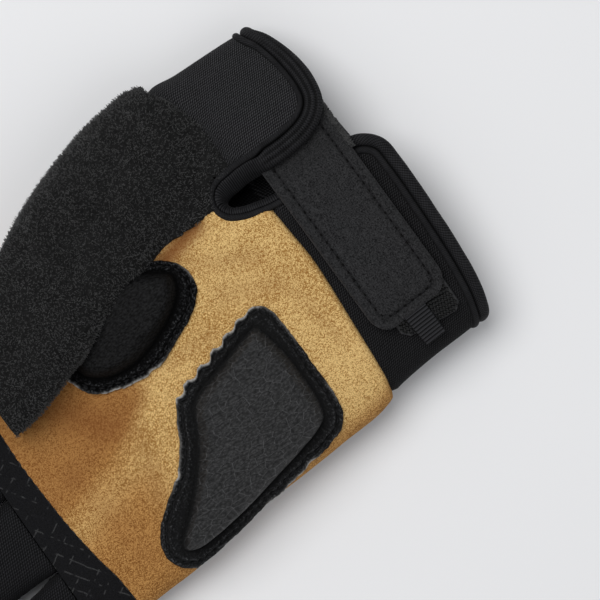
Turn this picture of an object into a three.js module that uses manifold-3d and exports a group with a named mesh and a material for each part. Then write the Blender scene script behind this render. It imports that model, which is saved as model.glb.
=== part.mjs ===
// A short-fingered cycling glove for the right hand, lying on its back with the palm up.
// Millimetres. +X points to the thumb side, +Y to the fingertips, +Z out of the palm.
// While it is built, x = 0 and y = 0 lie at the little-finger end of the seam between palm and cuff.
import * as THREE from "three";
import { mergeVertices } from "three/addons/utils/BufferGeometryUtils.js";
import Module from "manifold-3d";

// Driving sizes
const handWidth = 100;
const palmLength = 100;
const palmHeight = 22;
const cuffLength = 36;
const fingerLength = 30;
const thumbDepth = 26;
const thumbReach = 88;

// Walls and layers
const palmWall = 1.5;
const terryWall = 2.2;
const cuffWall = 2.8;
const fingerWall = 1.4;
const seamGap = 0.3;
const sideSeamHeight = 6;

// Edge roll, strap, tab and hook tape
const bindingWidth = 4.8;
const bindingHeight = 3.6;
const flapLift = 3.2;
const flapReach = 30;
const strapWidth = 23.2;
const strapThickness = 2.2;
const strapLength = 66;
const strapRadius = 4.5;
const hookThickness = 0.8;
const hookWidth = 16.5;
const hookLength = 28;
const tabWidth = 7;
const tabLength = 9.8;
const tabThickness = 1.8;

// Pads on the palm
const padFlange = 1.2;
const padDome = 4.6;

// How finely the surfaces are divided
const handSteps = 36;
const thumbSteps = 24;
const fingerSteps = 20;
const padSteps = 40;

// Roundness of a cross-section: 2 is an ellipse, more is squarer
const handRound = 2.5;
const thumbRound = 2.3;
const bellyShare = 0.45;
const flatShare = 1.12;

// Hand and cuff sections: along in cuff lengths below the seam and palm lengths above it,
// the two edges in hand widths, the top in palm heights
const handRows = [
  { along: -1.1, little: 0.032, thumb: 1.0, top: 1.04 },
  { along: -0.69, little: 0.023, thumb: 1.013, top: 1.04 },
  { along: -0.33, little: 0.015, thumb: 1.018, top: 1.03 },
  { along: 0, little: 0, thumb: 1.02, top: 1.0 },
  { along: 0.05, little: -0.02, thumb: 1.018, top: 1.0 },
  { along: 0.12, little: -0.028, thumb: 1.0, top: 1.01 },
  { along: 0.2, little: -0.031, thumb: 0.97, top: 1.02 },
  { along: 0.3, little: -0.035, thumb: 0.93, top: 1.01 },
  { along: 0.45, little: -0.046, thumb: 0.885, top: 0.97 },
  { along: 0.6, little: -0.07, thumb: 0.86, top: 0.9 },
  { along: 0.75, little: -0.084, thumb: 0.85, top: 0.84 },
  { along: 0.9, little: -0.09, thumb: 0.845, top: 0.8 },
  { along: 1.06, little: -0.09, thumb: 0.845, top: 0.77 },
];

// Broad dents (depth below zero) and swells of the palm side, in palm heights,
// at a place and over a size in hand widths and palm lengths
const palmFolds = [
  { across: 0.5, along: 0.13, wide: 0.1, long: 0.07, depth: -0.05 },
  { across: 0.62, along: 0.24, wide: 0.045, long: 0.1, depth: -0.05 },
  { across: 0.42, along: 0.68, wide: 0.13, long: 0.1, depth: -0.06 },
  { across: 0.56, along: 0.48, wide: 0.16, long: 0.16, depth: 0.05 },
];

// Thumb sections: along in palm lengths, the two edges in hand widths,
// the underside in palm heights, the thickness in thumb depths
const thumbRows = [
  { along: 0.03, inner: 0.76, outer: 1.0, under: 0.14, thick: 0.52 },
  { along: 0.08, inner: 0.71, outer: 1.035, under: 0.11, thick: 0.72 },
  { along: 0.13, inner: 0.675, outer: 1.047, under: 0.1, thick: 0.84 },
  { along: 0.2, inner: 0.672, outer: 1.04, under: 0.11, thick: 0.92 },
  { along: 0.3, inner: 0.655, outer: 1.025, under: 0.2, thick: 0.93 },
  { along: 0.38, inner: 0.635, outer: 1.003, under: 0.33, thick: 0.89 },
  { along: 0.45, inner: 0.615, outer: 0.978, under: 0.52, thick: 0.79 },
  { along: 0.52, inner: 0.592, outer: 0.948, under: 0.73, thick: 0.67 },
  { along: 0.58, inner: 0.568, outer: 0.917, under: 0.88, thick: 0.58 },
  { along: 0.64, inner: 0.545, outer: 0.885, under: 0.9, thick: 0.55 },
  { along: 0.76, inner: 0.51, outer: 0.83, under: 0.88, thick: 0.54 },
  { along: 0.94, inner: 0.475, outer: 0.775, under: 0.85, thick: 0.51 },
];

// Seam between cuff and hand: across in hand widths, along in cuff lengths
const cuffSeam = [
  { across: -0.1, along: 0.02 },
  { across: 0, along: 0 },
  { across: 0.05, along: -0.022 },
  { across: 0.2, along: -0.047 },
  { across: 0.4, along: -0.075 },
  { across: 0.5, along: -0.056 },
  { across: 0.58, along: -0.036 },
  { across: 0.75, along: 0.036 },
  { across: 0.85, along: 0.045 },
  { across: 0.95, along: 0.11 },
  { across: 1.02, along: 0.22 },
  { across: 1.1, along: 0.3 },
];

// Seam between palm and terry, from the slit to the thumb, in hand widths and palm lengths
const terrySeam = [
  { across: 0.665, along: -0.12 },
  { across: 0.665, along: 0.12 },
  { across: 0.675, along: 0.19 },
  { across: 0.675, along: 0.25 },
  { across: 0.66, along: 0.3 },
  { across: 0.66, along: 0.35 },
  { across: 0.74, along: 0.42 },
  { across: 1.12, along: 0.44 },
  { across: 1.12, along: -0.12 },
];

// Lower edge of the panel at the finger bases, in hand widths and palm lengths
const patchEdge = [
  { across: -0.2, along: 0.868 },
  { across: 0, along: 0.87 },
  { across: 0.1, along: 0.888 },
  { across: 0.25, along: 0.905 },
  { across: 0.45, along: 0.912 },
  { across: 0.65, along: 0.9 },
  { across: 0.85, along: 0.88 },
  { across: 1.1, along: 0.87 },
];

// Middle of the rolled edge, from the top of the keyhole down the little-finger side of the slit,
// round the wrist and up the flap: across in hand widths, along in cuff lengths
const edgeRows = [
  { side: "palm", across: 0.67, along: 0.26 },
  { side: "palm", across: 0.645, along: 0.235 },
  { side: "palm", across: 0.628, along: 0.165 },
  { side: "palm", across: 0.616, along: 0.07 },
  { side: "palm", across: 0.606, along: -0.04 },
  { side: "palm", across: 0.6, along: -0.2 },
  { side: "palm", across: 0.6, along: -0.42 },
  { side: "palm", across: 0.6, along: -0.66 },
  { side: "palm", across: 0.594, along: -0.83 },
  { side: "palm", across: 0.56, along: -0.93 },
  { side: "palm", across: 0.5, along: -0.95 },
  { side: "palm", across: 0.35, along: -0.95 },
  { side: "palm", across: 0.2, along: -0.935 },
  { side: "palm", across: 0.1, along: -0.905 },
  { side: "palm", across: 0.05, along: -0.87 },
  { side: "back", across: 0.05, along: -0.8 },
  { side: "back", across: 0.2, along: -0.79 },
  { side: "back", across: 0.4, along: -0.79 },
  { side: "back", across: 0.6, along: -0.76 },
  { side: "back", across: 0.8, along: -0.7 },
  { side: "back", across: 0.94, along: -0.63 },
  { side: "flap", across: 1.005, along: -0.61 },
  { side: "flap", across: 0.96, along: -0.685 },
  { side: "flap", across: 0.88, along: -0.75 },
  { side: "flap", across: 0.8, along: -0.765 },
  { side: "flap", across: 0.748, along: -0.735 },
  { side: "flap", across: 0.718, along: -0.66 },
  { side: "flap", across: 0.7, along: -0.55 },
  { side: "flap", across: 0.692, along: -0.4 },
  { side: "flap", across: 0.692, along: -0.22 },
  { side: "flap", across: 0.702, along: -0.08 },
  { side: "flap", across: 0.71, along: 0.06 },
  { side: "flap", across: 0.708, along: 0.17 },
  { side: "flap", across: 0.694, along: 0.237 },
];

// Finger tubes: root edges in shares of the width across the finger bases, length in finger lengths,
// lean of the tip in hand widths
const fingerRows = [
  { name: "little_stall", from: 0, to: 0.226, length: 0.75, lean: -0.045 },
  { name: "ring_stall", from: 0.226, to: 0.476, length: 0.92, lean: -0.015 },
  { name: "middle_stall", from: 0.476, to: 0.738, length: 1, lean: 0.01 },
  { name: "index_stall", from: 0.738, to: 1, length: 0.88, lean: 0.04 },
];

// Shape of a finger tube along its length: width and height against the root, and roundness
const fingerShape = [
  { along: 0, width: 1, height: 1, round: 5 },
  { along: 0.25, width: 0.985, height: 0.99, round: 3.2 },
  { along: 0.6, width: 0.96, height: 0.96, round: 2.6 },
  { along: 1, width: 0.93, height: 0.92, round: 2.4 },
];

// Outlines of the pads: the cut edge and the foot of the dome, in hand widths and palm lengths
const heelPadRows = [
  { edgeX: 0.02, edgeY: 0.155, footX: 0.06, footY: 0.188 },
  { edgeX: 0.08, edgeY: 0.134, footX: 0.1, footY: 0.173 },
  { edgeX: 0.18, edgeY: 0.133, footX: 0.18, footY: 0.17 },
  { edgeX: 0.28, edgeY: 0.136, footX: 0.255, footY: 0.173 },
  { edgeX: 0.35, edgeY: 0.141, footX: 0.32, footY: 0.185 },
  { edgeX: 0.393, edgeY: 0.162, footX: 0.354, footY: 0.2 },
  { edgeX: 0.396, edgeY: 0.215, footX: 0.35, footY: 0.235 },
  { edgeX: 0.382, edgeY: 0.27, footX: 0.338, footY: 0.28 },
  { edgeX: 0.367, edgeY: 0.32, footX: 0.322, footY: 0.33 },
  { edgeX: 0.352, edgeY: 0.37, footX: 0.308, footY: 0.385 },
  { edgeX: 0.338, edgeY: 0.425, footX: 0.294, footY: 0.428 },
  { edgeX: 0.314, edgeY: 0.478, footX: 0.27, footY: 0.458 },
  { edgeX: 0.265, edgeY: 0.513, footX: 0.227, footY: 0.48 },
  { edgeX: 0.2, edgeY: 0.55, footX: 0.175, footY: 0.512 },
  { edgeX: 0.145, edgeY: 0.602, footX: 0.115, footY: 0.56 },
  { edgeX: 0.105, edgeY: 0.66, footX: 0.07, footY: 0.603 },
  { edgeX: 0.06, edgeY: 0.71, footX: 0.035, footY: 0.642 },
  { edgeX: 0.01, edgeY: 0.74, footX: 0.007, footY: 0.678 },
  { edgeX: -0.04, edgeY: 0.733, footX: -0.018, footY: 0.692 },
  { edgeX: -0.072, edgeY: 0.695, footX: -0.032, footY: 0.668 },
  { edgeX: -0.072, edgeY: 0.64, footX: -0.033, footY: 0.618 },
  { edgeX: -0.06, edgeY: 0.55, footX: -0.024, footY: 0.535 },
  { edgeX: -0.045, edgeY: 0.46, footX: -0.01, footY: 0.45 },
  { edgeX: -0.032, edgeY: 0.37, footX: 0.006, footY: 0.365 },
  { edgeX: -0.02, edgeY: 0.29, footX: 0.022, footY: 0.29 },
  { edgeX: -0.004, edgeY: 0.205, footX: 0.042, footY: 0.22 },
];
const thenarPadRows = [
  { edgeX: 0.5, edgeY: 0.29, footX: 0.54, footY: 0.335 },
  { edgeX: 0.54, edgeY: 0.265, footX: 0.565, footY: 0.315 },
  { edgeX: 0.585, edgeY: 0.265, footX: 0.59, footY: 0.31 },
  { edgeX: 0.625, edgeY: 0.29, footX: 0.615, footY: 0.34 },
  { edgeX: 0.66, edgeY: 0.34, footX: 0.64, footY: 0.38 },
  { edgeX: 0.68, edgeY: 0.42, footX: 0.65, footY: 0.44 },
  { edgeX: 0.685, edgeY: 0.51, footX: 0.65, footY: 0.51 },
  { edgeX: 0.67, edgeY: 0.59, footX: 0.635, footY: 0.57 },
  { edgeX: 0.63, edgeY: 0.65, footX: 0.6, footY: 0.615 },
  { edgeX: 0.57, edgeY: 0.685, footX: 0.555, footY: 0.64 },
  { edgeX: 0.5, edgeY: 0.68, footX: 0.51, footY: 0.635 },
  { edgeX: 0.45, edgeY: 0.645, footX: 0.48, footY: 0.6 },
  { edgeX: 0.425, edgeY: 0.59, footX: 0.466, footY: 0.56 },
  { edgeX: 0.412, edgeY: 0.52, footX: 0.465, footY: 0.51 },
  { edgeX: 0.418, edgeY: 0.45, footX: 0.478, footY: 0.455 },
  { edgeX: 0.445, edgeY: 0.385, footX: 0.497, footY: 0.405 },
  { edgeX: 0.47, edgeY: 0.335, footX: 0.517, footY: 0.365 },
];

// How far round the side a pad may reach, in half widths of the hand
const padReach = 0.985;

// Rings of a pad from the middle out: how far to the foot of the dome, and height in dome heights
const domeRings = [
  { out: 0.04, height: 1 },
  { out: 0.45, height: 0.99 },
  { out: 0.72, height: 0.92 },
  { out: 0.88, height: 0.7 },
  { out: 0.97, height: 0.3 },
  { out: 1, height: 0 },
];

// Reads a column of a table between its rows, on a smooth curve through them
function readTable(rows, key, column, at) {
  const last = rows.length - 1;
  let i = 0;
  while (i < last - 1 && at > rows[i + 1][key]) i += 1;
  const slope = (a, b) => (rows[b][column] - rows[a][column]) / (rows[b][key] - rows[a][key]);
  const span = rows[i + 1][key] - rows[i][key];
  const startSlope = slope(Math.max(i - 1, 0), i + 1);
  const endSlope = slope(i, Math.min(i + 2, last));
  const t = THREE.MathUtils.clamp((at - rows[i][key]) / span, 0, 1);
  const s = t * t * (3 - 2 * t);
  const bow = t * (1 - t) * span;
  const line = rows[i][column] * (1 - s) + rows[i + 1][column] * s;
  return line + bow * ((1 - t) * startSlope - t * endSlope);
}

// The same power that bends a circle into a rounder or squarer section
function signedPower(value, power) {
  return Math.sign(value) * Math.abs(value) ** power;
}

// Place of a row of the hand table, in millimetres
const handStations = handRows.map((row) => ({
  ...row,
  y: row.along * (row.along < 0 ? cuffLength : palmLength),
}));

// Cross-section of hand and cuff at one place along them
function handSection(y) {
  const little = handWidth * readTable(handStations, "y", "little", y);
  const thumb = handWidth * readTable(handStations, "y", "thumb", y);
  const top = palmHeight * readTable(handStations, "y", "top", y);
  return { middle: (little + thumb) / 2, half: (thumb - little) / 2, top, belly: bellyShare * top };
}

// Height that the dents and swells add on the palm side
function foldHeight(x, y) {
  let sum = 0;
  for (const fold of palmFolds) {
    const dx = (x / handWidth - fold.across) / fold.wide;
    const dy = (y / palmLength - fold.along) / fold.long;
    sum += fold.depth * Math.exp(-dx * dx - dy * dy);
  }
  return sum * palmHeight;
}

// Point of a rounded section at an angle, raised off its surface by a height
function sectionPoint(section, roundness, floor, angle, y, height) {
  const power = 2 / roundness;
  const up = signedPower(Math.sin(angle), power);
  const x = section.middle + (section.half + height) * signedPower(Math.cos(angle), power);
  const crown = section.top - section.belly + height;
  const keel = flatShare * (section.belly - floor) + height;
  const z = section.belly + up * (up > 0 ? crown : keel);
  return new THREE.Vector3(x, y, Math.max(z, floor - height));
}

// Point of the hand or cuff surface at an angle, raised off it by a height
function handPoint(angle, y, height) {
  const point = sectionPoint(handSection(y), handRound, 0, angle, y, height);
  const crest = Math.max(0, Math.sin(angle));
  point.z = Math.max(0, point.z + crest * foldHeight(point.x, y));
  return point;
}

// Cross-section of the thumb at one place along the hand
function thumbSection(y) {
  const along = y / palmLength;
  const inner = handWidth * readTable(thumbRows, "along", "inner", along);
  const outer = handWidth * readTable(thumbRows, "along", "outer", along);
  const under = palmHeight * readTable(thumbRows, "along", "under", along);
  const top = under + thumbDepth * readTable(thumbRows, "along", "thick", along);
  return { middle: (inner + outer) / 2, half: (outer - inner) / 2, top, belly: (under + top) / 2, under };
}

// Point of the thumb surface at an angle, raised off it by a height
function thumbPoint(angle, y, height) {
  const section = thumbSection(y);
  return sectionPoint(section, thumbRound, section.under, angle, y, height);
}

// Solid between rings of points, each ring joined to the next; the ends are closed flat,
// or joined to each other when the rings run in a circle
function loft(rings, circular = false) {
  const size = rings[0].length;
  const positions = rings.flat().flatMap((p) => [p.x, p.y, p.z]);
  const index = [];
  const quad = (a, b, c, d) => index.push(a, b, c, a, c, d);
  const links = circular ? rings.length : rings.length - 1;
  for (let i = 0; i < links; i += 1) {
    const here = i * size;
    const there = ((i + 1) % rings.length) * size;
    for (let j = 0; j < size; j += 1) {
      const k = (j + 1) % size;
      quad(here + j, here + k, there + k, there + j);
    }
  }
  if (!circular) {
    const end = (rings.length - 1) * size;
    for (let j = 0; j < size / 2 - 1; j += 1) {
      quad(j + 1, j, size - 1 - j, size - 2 - j);
      quad(end + j, end + j + 1, end + size - 2 - j, end + size - 1 - j);
    }
  }
  const geometry = new THREE.BufferGeometry();
  geometry.setAttribute("position", new THREE.Float32BufferAttribute(positions, 3));
  geometry.setIndex(index);
  return facingOut(geometry);
}

// Turns the faces round when they point inwards
function facingOut(geometry) {
  const p = geometry.getAttribute("position");
  const index = geometry.getIndex().array;
  const [a, b, c] = [new THREE.Vector3(), new THREE.Vector3(), new THREE.Vector3()];
  let volume = 0;
  for (let i = 0; i < index.length; i += 3) {
    a.fromBufferAttribute(p, index[i]);
    b.fromBufferAttribute(p, index[i + 1]);
    c.fromBufferAttribute(p, index[i + 2]);
    volume += a.dot(b.cross(c));
  }
  if (volume < 0) index.reverse();
  return geometry;
}

// Evenly spaced numbers from one value to another
function steps(from, to, count) {
  return Array.from({ length: count + 1 }, (_, i) => from + ((to - from) * i) / count);
}

// Ring of points round a section
function ringOf(pointAt, count, y, height) {
  return Array.from({ length: count }, (_, i) => pointAt((2 * Math.PI * (i + 0.5)) / count, y, height));
}

// Booleans
const wasm = await Module();
wasm.setup();

function toSolid(geometry) {
  const bare = geometry.clone();
  bare.deleteAttribute("normal");
  bare.deleteAttribute("uv");
  const merged = mergeVertices(bare, 1e-4);
  return new wasm.Manifold(
    new wasm.Mesh({
      numProp: 3,
      vertProperties: new Float32Array(merged.getAttribute("position").array),
      triVerts: new Uint32Array(merged.getIndex().array),
    }),
  );
}

function toGeometry(solid) {
  const mesh = solid.getMesh();
  const geometry = new THREE.BufferGeometry();
  geometry.setAttribute("position", new THREE.Float32BufferAttribute(mesh.vertProperties, 3));
  geometry.setIndex(Array.from(mesh.triVerts));
  return geometry;
}

// The largest body of a cut solid
function largest(solid) {
  return solid.decompose().reduce((a, b) => (b.volume() > a.volume() ? b : a));
}

// Upright block over an outline, between two heights
function prism(outline, from, to) {
  const shape = new THREE.Shape(outline.map((p) => new THREE.Vector2(p.x, p.y)));
  const geometry = new THREE.ExtrudeGeometry(shape, { depth: to - from, bevelEnabled: false });
  geometry.translate(0, 0, from);
  return toSolid(geometry);
}

// Outer and inner forms of hand and thumb
const ceiling = 2 * palmHeight + thumbDepth;
const handStart = -cuffLength / 2;
function handForm(height, end) {
  const stations = steps(handStart, end, 15);
  return toSolid(loft(stations.map((y) => ringOf(handPoint, handSteps, y, height))));
}
function thumbForm(height, end) {
  const stations = steps(palmLength * thumbRows[0].along, end, 14);
  return toSolid(loft(stations.map((y) => ringOf(thumbPoint, thumbSteps, y, height))));
}
const hollow = handForm(-palmWall, palmLength + palmWall).add(thumbForm(-terryWall, thumbReach + terryWall));
const shell = handForm(0, palmLength).add(thumbForm(0, thumbReach)).subtract(hollow);

// Distance round the cuff, from the thumb side over the palm side, and back to an angle
const girthSteps = 360;
const girthY = -cuffLength / 2;
const girthTable = [0];
for (let i = 1; i <= girthSteps; i += 1) {
  const a = handPoint((2 * Math.PI * (i - 1)) / girthSteps, girthY, 0);
  const b = handPoint((2 * Math.PI * i) / girthSteps, girthY, 0);
  girthTable.push(girthTable[i - 1] + a.distanceTo(b));
}
const girth = girthTable[girthSteps];
function girthAt(angle) {
  const place = (angle / (2 * Math.PI)) * girthSteps;
  const turns = Math.floor(place / girthSteps);
  const within = place - turns * girthSteps;
  const i = Math.min(Math.floor(within), girthSteps - 1);
  return turns * girth + girthTable[i] + (within - i) * (girthTable[i + 1] - girthTable[i]);
}
function angleAt(distance) {
  const turns = Math.floor(distance / girth);
  const within = distance - turns * girth;
  let i = 0;
  while (i < girthSteps - 1 && girthTable[i + 1] < within) i += 1;
  const part = (within - girthTable[i]) / (girthTable[i + 1] - girthTable[i]);
  return (2 * Math.PI * (turns * girthSteps + i + part)) / girthSteps;
}

// Angle of a point of the palm side that lies at a place across the hand
function angleAcross(x, y) {
  const section = handSection(y);
  const share = THREE.MathUtils.clamp((x - section.middle) / section.half, -1, 1);
  return Math.acos(signedPower(share, handRound / 2));
}

// The rolled edge as a flat path: distance round the cuff and place along it
const edgePath = edgeRows.map(({ side, across, along }) => {
  const y = along * cuffLength;
  const angle = angleAcross(across * handWidth, y);
  const turned = { palm: angle, back: 2 * Math.PI - angle, flap: 2 * Math.PI + angle }[side];
  return new THREE.Vector3(girthAt(turned), y, 0);
});
const beyond = edgePath.slice(0, 2).map((p) => new THREE.Vector3(p.x + girth, p.y, 0));
const before = new THREE.Vector3(edgePath.at(-1).x - girth, edgePath.at(-1).y, 0);
const edgeCurve = new THREE.CatmullRomCurve3([before, ...edgePath, ...beyond]);
const stepsPerRow = 2;
const edgeSteps = stepsPerRow * edgePath.length;
const edgePoints = steps(0, edgePath.length, edgeSteps).map((row) => {
  const place = (row + 1) / (edgePath.length + 2);
  const point = edgeCurve.getPoint(place);
  const tangent = edgeCurve.getTangent(place);
  return { x: point.x, y: point.y, inX: -tangent.y, inY: tangent.x };
});

// How far the flap stands up over the strap
const flapEdge = edgePath.at(-5).x;
function liftAt(distance, y) {
  const far = THREE.MathUtils.smoothstep(flapEdge - distance, 0, flapReach);
  const high = THREE.MathUtils.smoothstep(y, -bindingWidth, bindingWidth);
  return flapLift * (1 - far) * (1 - high);
}
function cuffPoint(distance, y, height) {
  return handPoint(angleAt(distance), y, height);
}
function flapPoint(distance, y, height) {
  return cuffPoint(distance, y, height + liftAt(distance, y));
}

// Rolled edge: an oval section carried along the path, half of it inside the wall's line
const rollSides = 8;
const binding = loft(
  edgePoints.slice(0, edgeSteps).map((edge) =>
    Array.from({ length: rollSides }, (_, i) => {
      const angle = (2 * Math.PI * i) / rollSides;
      const aside = (bindingWidth / 2) * Math.cos(angle);
      const height = (bindingHeight / 2) * Math.sin(angle) - cuffWall / 2;
      return flapPoint(edge.x + aside * edge.inX, edge.y + aside * edge.inY, height);
    }),
  ),
  true,
);

// Inner line of the roll, where the cuff wall begins
const wallLine = edgePoints.map((edge) => {
  const aside = bindingWidth / 2 + seamGap;
  return { x: edge.x + aside * edge.inX, y: edge.y + aside * edge.inY };
});
function seamAlong(x) {
  return cuffLength * readTable(cuffSeam, "across", "along", x / handWidth);
}
// Place along the hand where the seam crosses a line at a distance round the cuff
function seamAt(distance, height) {
  return [1, 2, 3, 4, 5].reduce((y) => seamAlong(cuffPoint(distance, y, height).x), 0);
}

// Cuff wall: from the roll to the seam, all the way round from one side of the slit to the other
const underSeam = (p, depth) => p.y < seamAlong(cuffPoint(p.x, p.y, 0).x) - depth;
const beside = wallLine.filter((p) => underSeam(p, 2 * seamGap));
const below = wallLine.filter((p) => underSeam(p, bindingWidth));
const startShift = beside[0].x - below[0].x;
const endShift = beside.at(-1).x - below.at(-1).x;
const wallRows = 4;
const slitShare = { reach: 0.8, end: 2.8 };
const slitReach = cuffLength * slitShare.reach;
const strayEnd = cuffLength * slitShare.end;
const wallStray = slitReach / 2;
// Beside the slit the wall's lines fan out from the seam's end, and elsewhere they run along the hand
function strayAt(along, shift) {
  const rising = Math.min(along / slitReach, 1);
  const falling = THREE.MathUtils.smoothstep(along, slitReach, strayEnd);
  return shift * (1 - rising) + wallStray * rising * (1 - falling);
}
const walked = [0];
for (let k = 1; k < below.length; k += 1) {
  walked.push(walked[k - 1] + Math.hypot(below[k].x - below[k - 1].x, below[k].y - below[k - 1].y));
}
const cuff = loft(
  below.map((edge, k) => {
    const left = walked.at(-1) - walked[k];
    const seamX = edge.x + strayAt(walked[k], startShift) - strayAt(left, -endShift);
    const at = (v, height) => {
      const x = THREE.MathUtils.lerp(edge.x, seamX, v);
      const y = THREE.MathUtils.lerp(edge.y, seamAt(seamX, height) - seamGap, v);
      return flapPoint(x, y, height);
    };
    const outside = steps(0, 1, wallRows).map((v) => at(v, 0));
    const inside = steps(1, 0, wallRows).map((v) => at(v, -cuffWall));
    return [...outside, ...inside];
  }),
);

// Regions that share the shell out between the panels
const wideX = 2 * handWidth;
const seamLine = steps(-0.1, 1.1, 60).map((share) => {
  const x = share * handWidth;
  return { x, y: seamAlong(x) };
});
const handZone = prism(
  [...seamLine, { x: wideX, y: seamLine.at(-1).y }, { x: wideX, y: 2 * palmLength },
    { x: -wideX, y: 2 * palmLength }, { x: -wideX, y: seamLine[0].y }],
  -palmHeight,
  ceiling,
);
const everywhere = [
  { x: -wideX, y: -wideX }, { x: wideX, y: -wideX }, { x: wideX, y: wideX }, { x: -wideX, y: wideX },
];
const upperZone = prism(everywhere, sideSeamHeight, ceiling);
const lowerZone = prism(everywhere, -palmHeight, sideSeamHeight - seamGap);
function terryZone(margin) {
  const outline = terrySeam.map(({ across, along }) => ({
    x: across * handWidth - margin,
    y: along * palmLength + margin,
  }));
  return thumbForm(margin, thumbReach + margin).add(prism(outline, sideSeamHeight - margin, ceiling));
}
function patchZone(margin) {
  const edge = steps(-0.2, 1.1, 26).map((share) => ({
    x: share * handWidth,
    y: palmLength * readTable(patchEdge, "across", "along", share) - margin,
  }));
  return prism([...edge, { x: wideX, y: 2 * palmLength }, { x: -wideX, y: 2 * palmLength }], -palmHeight, ceiling);
}
const keyholeOutline = [
  ...wallLine.slice(-stepsPerRow * 5 - 1, -1),
  ...wallLine.slice(0, stepsPerRow * 5 + 1),
].map((p) => cuffPoint(p.x, p.y, 0));
const keyhole = prism(keyholeOutline, bellyShare * palmHeight, ceiling);

// Panels
const shellHand = shell.intersect(handZone);
const thumb = largest(shellHand.intersect(terryZone(0)).subtract(keyhole));
const rest = shellHand.subtract(terryZone(seamGap)).subtract(keyhole);
const palm = largest(rest.intersect(upperZone).subtract(patchZone(seamGap)));
const patch = largest(rest.intersect(upperZone).intersect(patchZone(0)));
const back = largest(rest.intersect(lowerZone));

// Pad: flange and dome set on the palm side, cut to lie on it
const onPalm = handForm(seamGap, palmLength);
const besideThumb = thumbForm(seamGap, thumbReach);
function padSolid(rows) {
  const closed = (x, y) => new THREE.CatmullRomCurve3(
    rows.map((row) => new THREE.Vector3(row[x] * handWidth, row[y] * palmLength, 0)), true,
  );
  const edge = closed("edgeX", "edgeY").getPoints(padSteps).slice(0, padSteps);
  const foot = closed("footX", "footY").getPoints(padSteps).slice(0, padSteps);
  const middle = foot.reduce((sum, p) => sum.add(p), new THREE.Vector3()).divideScalar(foot.length);
  const onSurface = (p, height) => {
    const section = handSection(p.y);
    const reach = padReach * section.half;
    const x = THREE.MathUtils.clamp(p.x, section.middle - reach, section.middle + reach);
    return handPoint(angleAcross(x, p.y), p.y, height);
  };
  const ring = (from, to, share, height) =>
    from.map((p, i) => onSurface(p.clone().lerp(to[i], share), height));
  const centre = foot.map(() => middle);
  const sunk = -padFlange;
  const raised = seamGap + padFlange;
  const rings = [
    ...domeRings.map(({ out, height }) => ring(centre, foot, out, raised + height * padDome)),
    ring(foot, edge, 1, raised),
    ring(foot, edge, 1, sunk),
    ring(centre, foot, 1, sunk),
    ring(centre, foot, 0.5, sunk),
    ring(centre, foot, domeRings[0].out, sunk),
  ];
  return toSolid(loft(rings)).subtract(onPalm);
}
const heelPad = largest(padSolid(heelPadRows));
const thenarPad = largest(padSolid(thenarPadRows).subtract(besideThumb));

// Pieces that lie on the little-finger side of the cuff, as flat outlines with a height
const strapY = { from: -0.16, to: -0.785 };
const strapMiddle = (cuffLength * (strapY.from + strapY.to)) / 2;
const strapLean = -0.02;
const strapEndShare = 0.166;
const strapEndX = strapEndShare * handWidth;
const strapLay = hookThickness + 2 * seamGap;
const strapDrop = cuffWall / 2 + bindingHeight / 2 + seamGap + strapThickness - flapLift;
const dropShare = { from: 0.6, to: 0.67 };
const dropFrom = dropShare.from * handWidth;
const dropTo = dropShare.to * handWidth;
const distanceAcross = (x) => girthAt(angleAcross(x, strapMiddle));
const strapEnd = distanceAcross(strapEndX);

// Slab over a strip of the cuff: each row has its distance round the cuff, its middle along it,
// its half width and the heights of its two faces
function strip(rows, divisions) {
  return loft(
    rows.map(({ distance, middle, half, under, over }) => {
      const across = steps(-half, half, divisions);
      const upper = across.map((d) => cuffPoint(distance, middle + d, over));
      const lower = [...across].reverse().map((d) => cuffPoint(distance, middle + d, under));
      return [...upper, ...lower];
    }),
  );
}
const strapRows = steps(0, 1, 24).map((share) => {
  const fromEnd = strapLength * share;
  const distance = strapEnd - fromEnd;
  const corner = Math.max(0, strapRadius - fromEnd);
  const rounding = strapRadius - Math.sqrt(strapRadius ** 2 - corner ** 2);
  const x = cuffPoint(distance, strapMiddle, 0).x;
  const drop = THREE.MathUtils.smoothstep(x, dropFrom, dropTo);
  const sag = flapLift - liftAt(distance + girth, strapMiddle);
  const under = strapLay - drop * (strapLay + strapDrop) - sag;
  return {
    distance,
    middle: strapMiddle - strapLean * fromEnd,
    half: strapWidth / 2 - rounding,
    under,
    over: under + strapThickness,
  };
});
const strap = strip(strapRows, 4);

// Hook tape under the strap's end, and the ribbon tab butted to it
const hookPlace = { aside: 0.06, beyond: 0.75 };
const hookMiddle = strapMiddle - hookPlace.aside * strapWidth;
const hookRows = steps(0, hookLength, 10).map((far) => ({
  distance: strapEnd + tabLength * hookPlace.beyond - far,
  middle: hookMiddle,
  half: hookWidth / 2,
  under: seamGap,
  over: seamGap + hookThickness,
}));
const hookPatch = strip(hookRows, 2);
const tabRows = steps(seamGap, seamGap + tabLength, 6).map((far) => ({
  distance: strapEnd + far,
  middle: strapMiddle,
  half: tabWidth / 2,
  under: strapLay,
  over: strapLay + tabThickness,
}));
const pullTab = strip(tabRows, 2);

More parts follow.
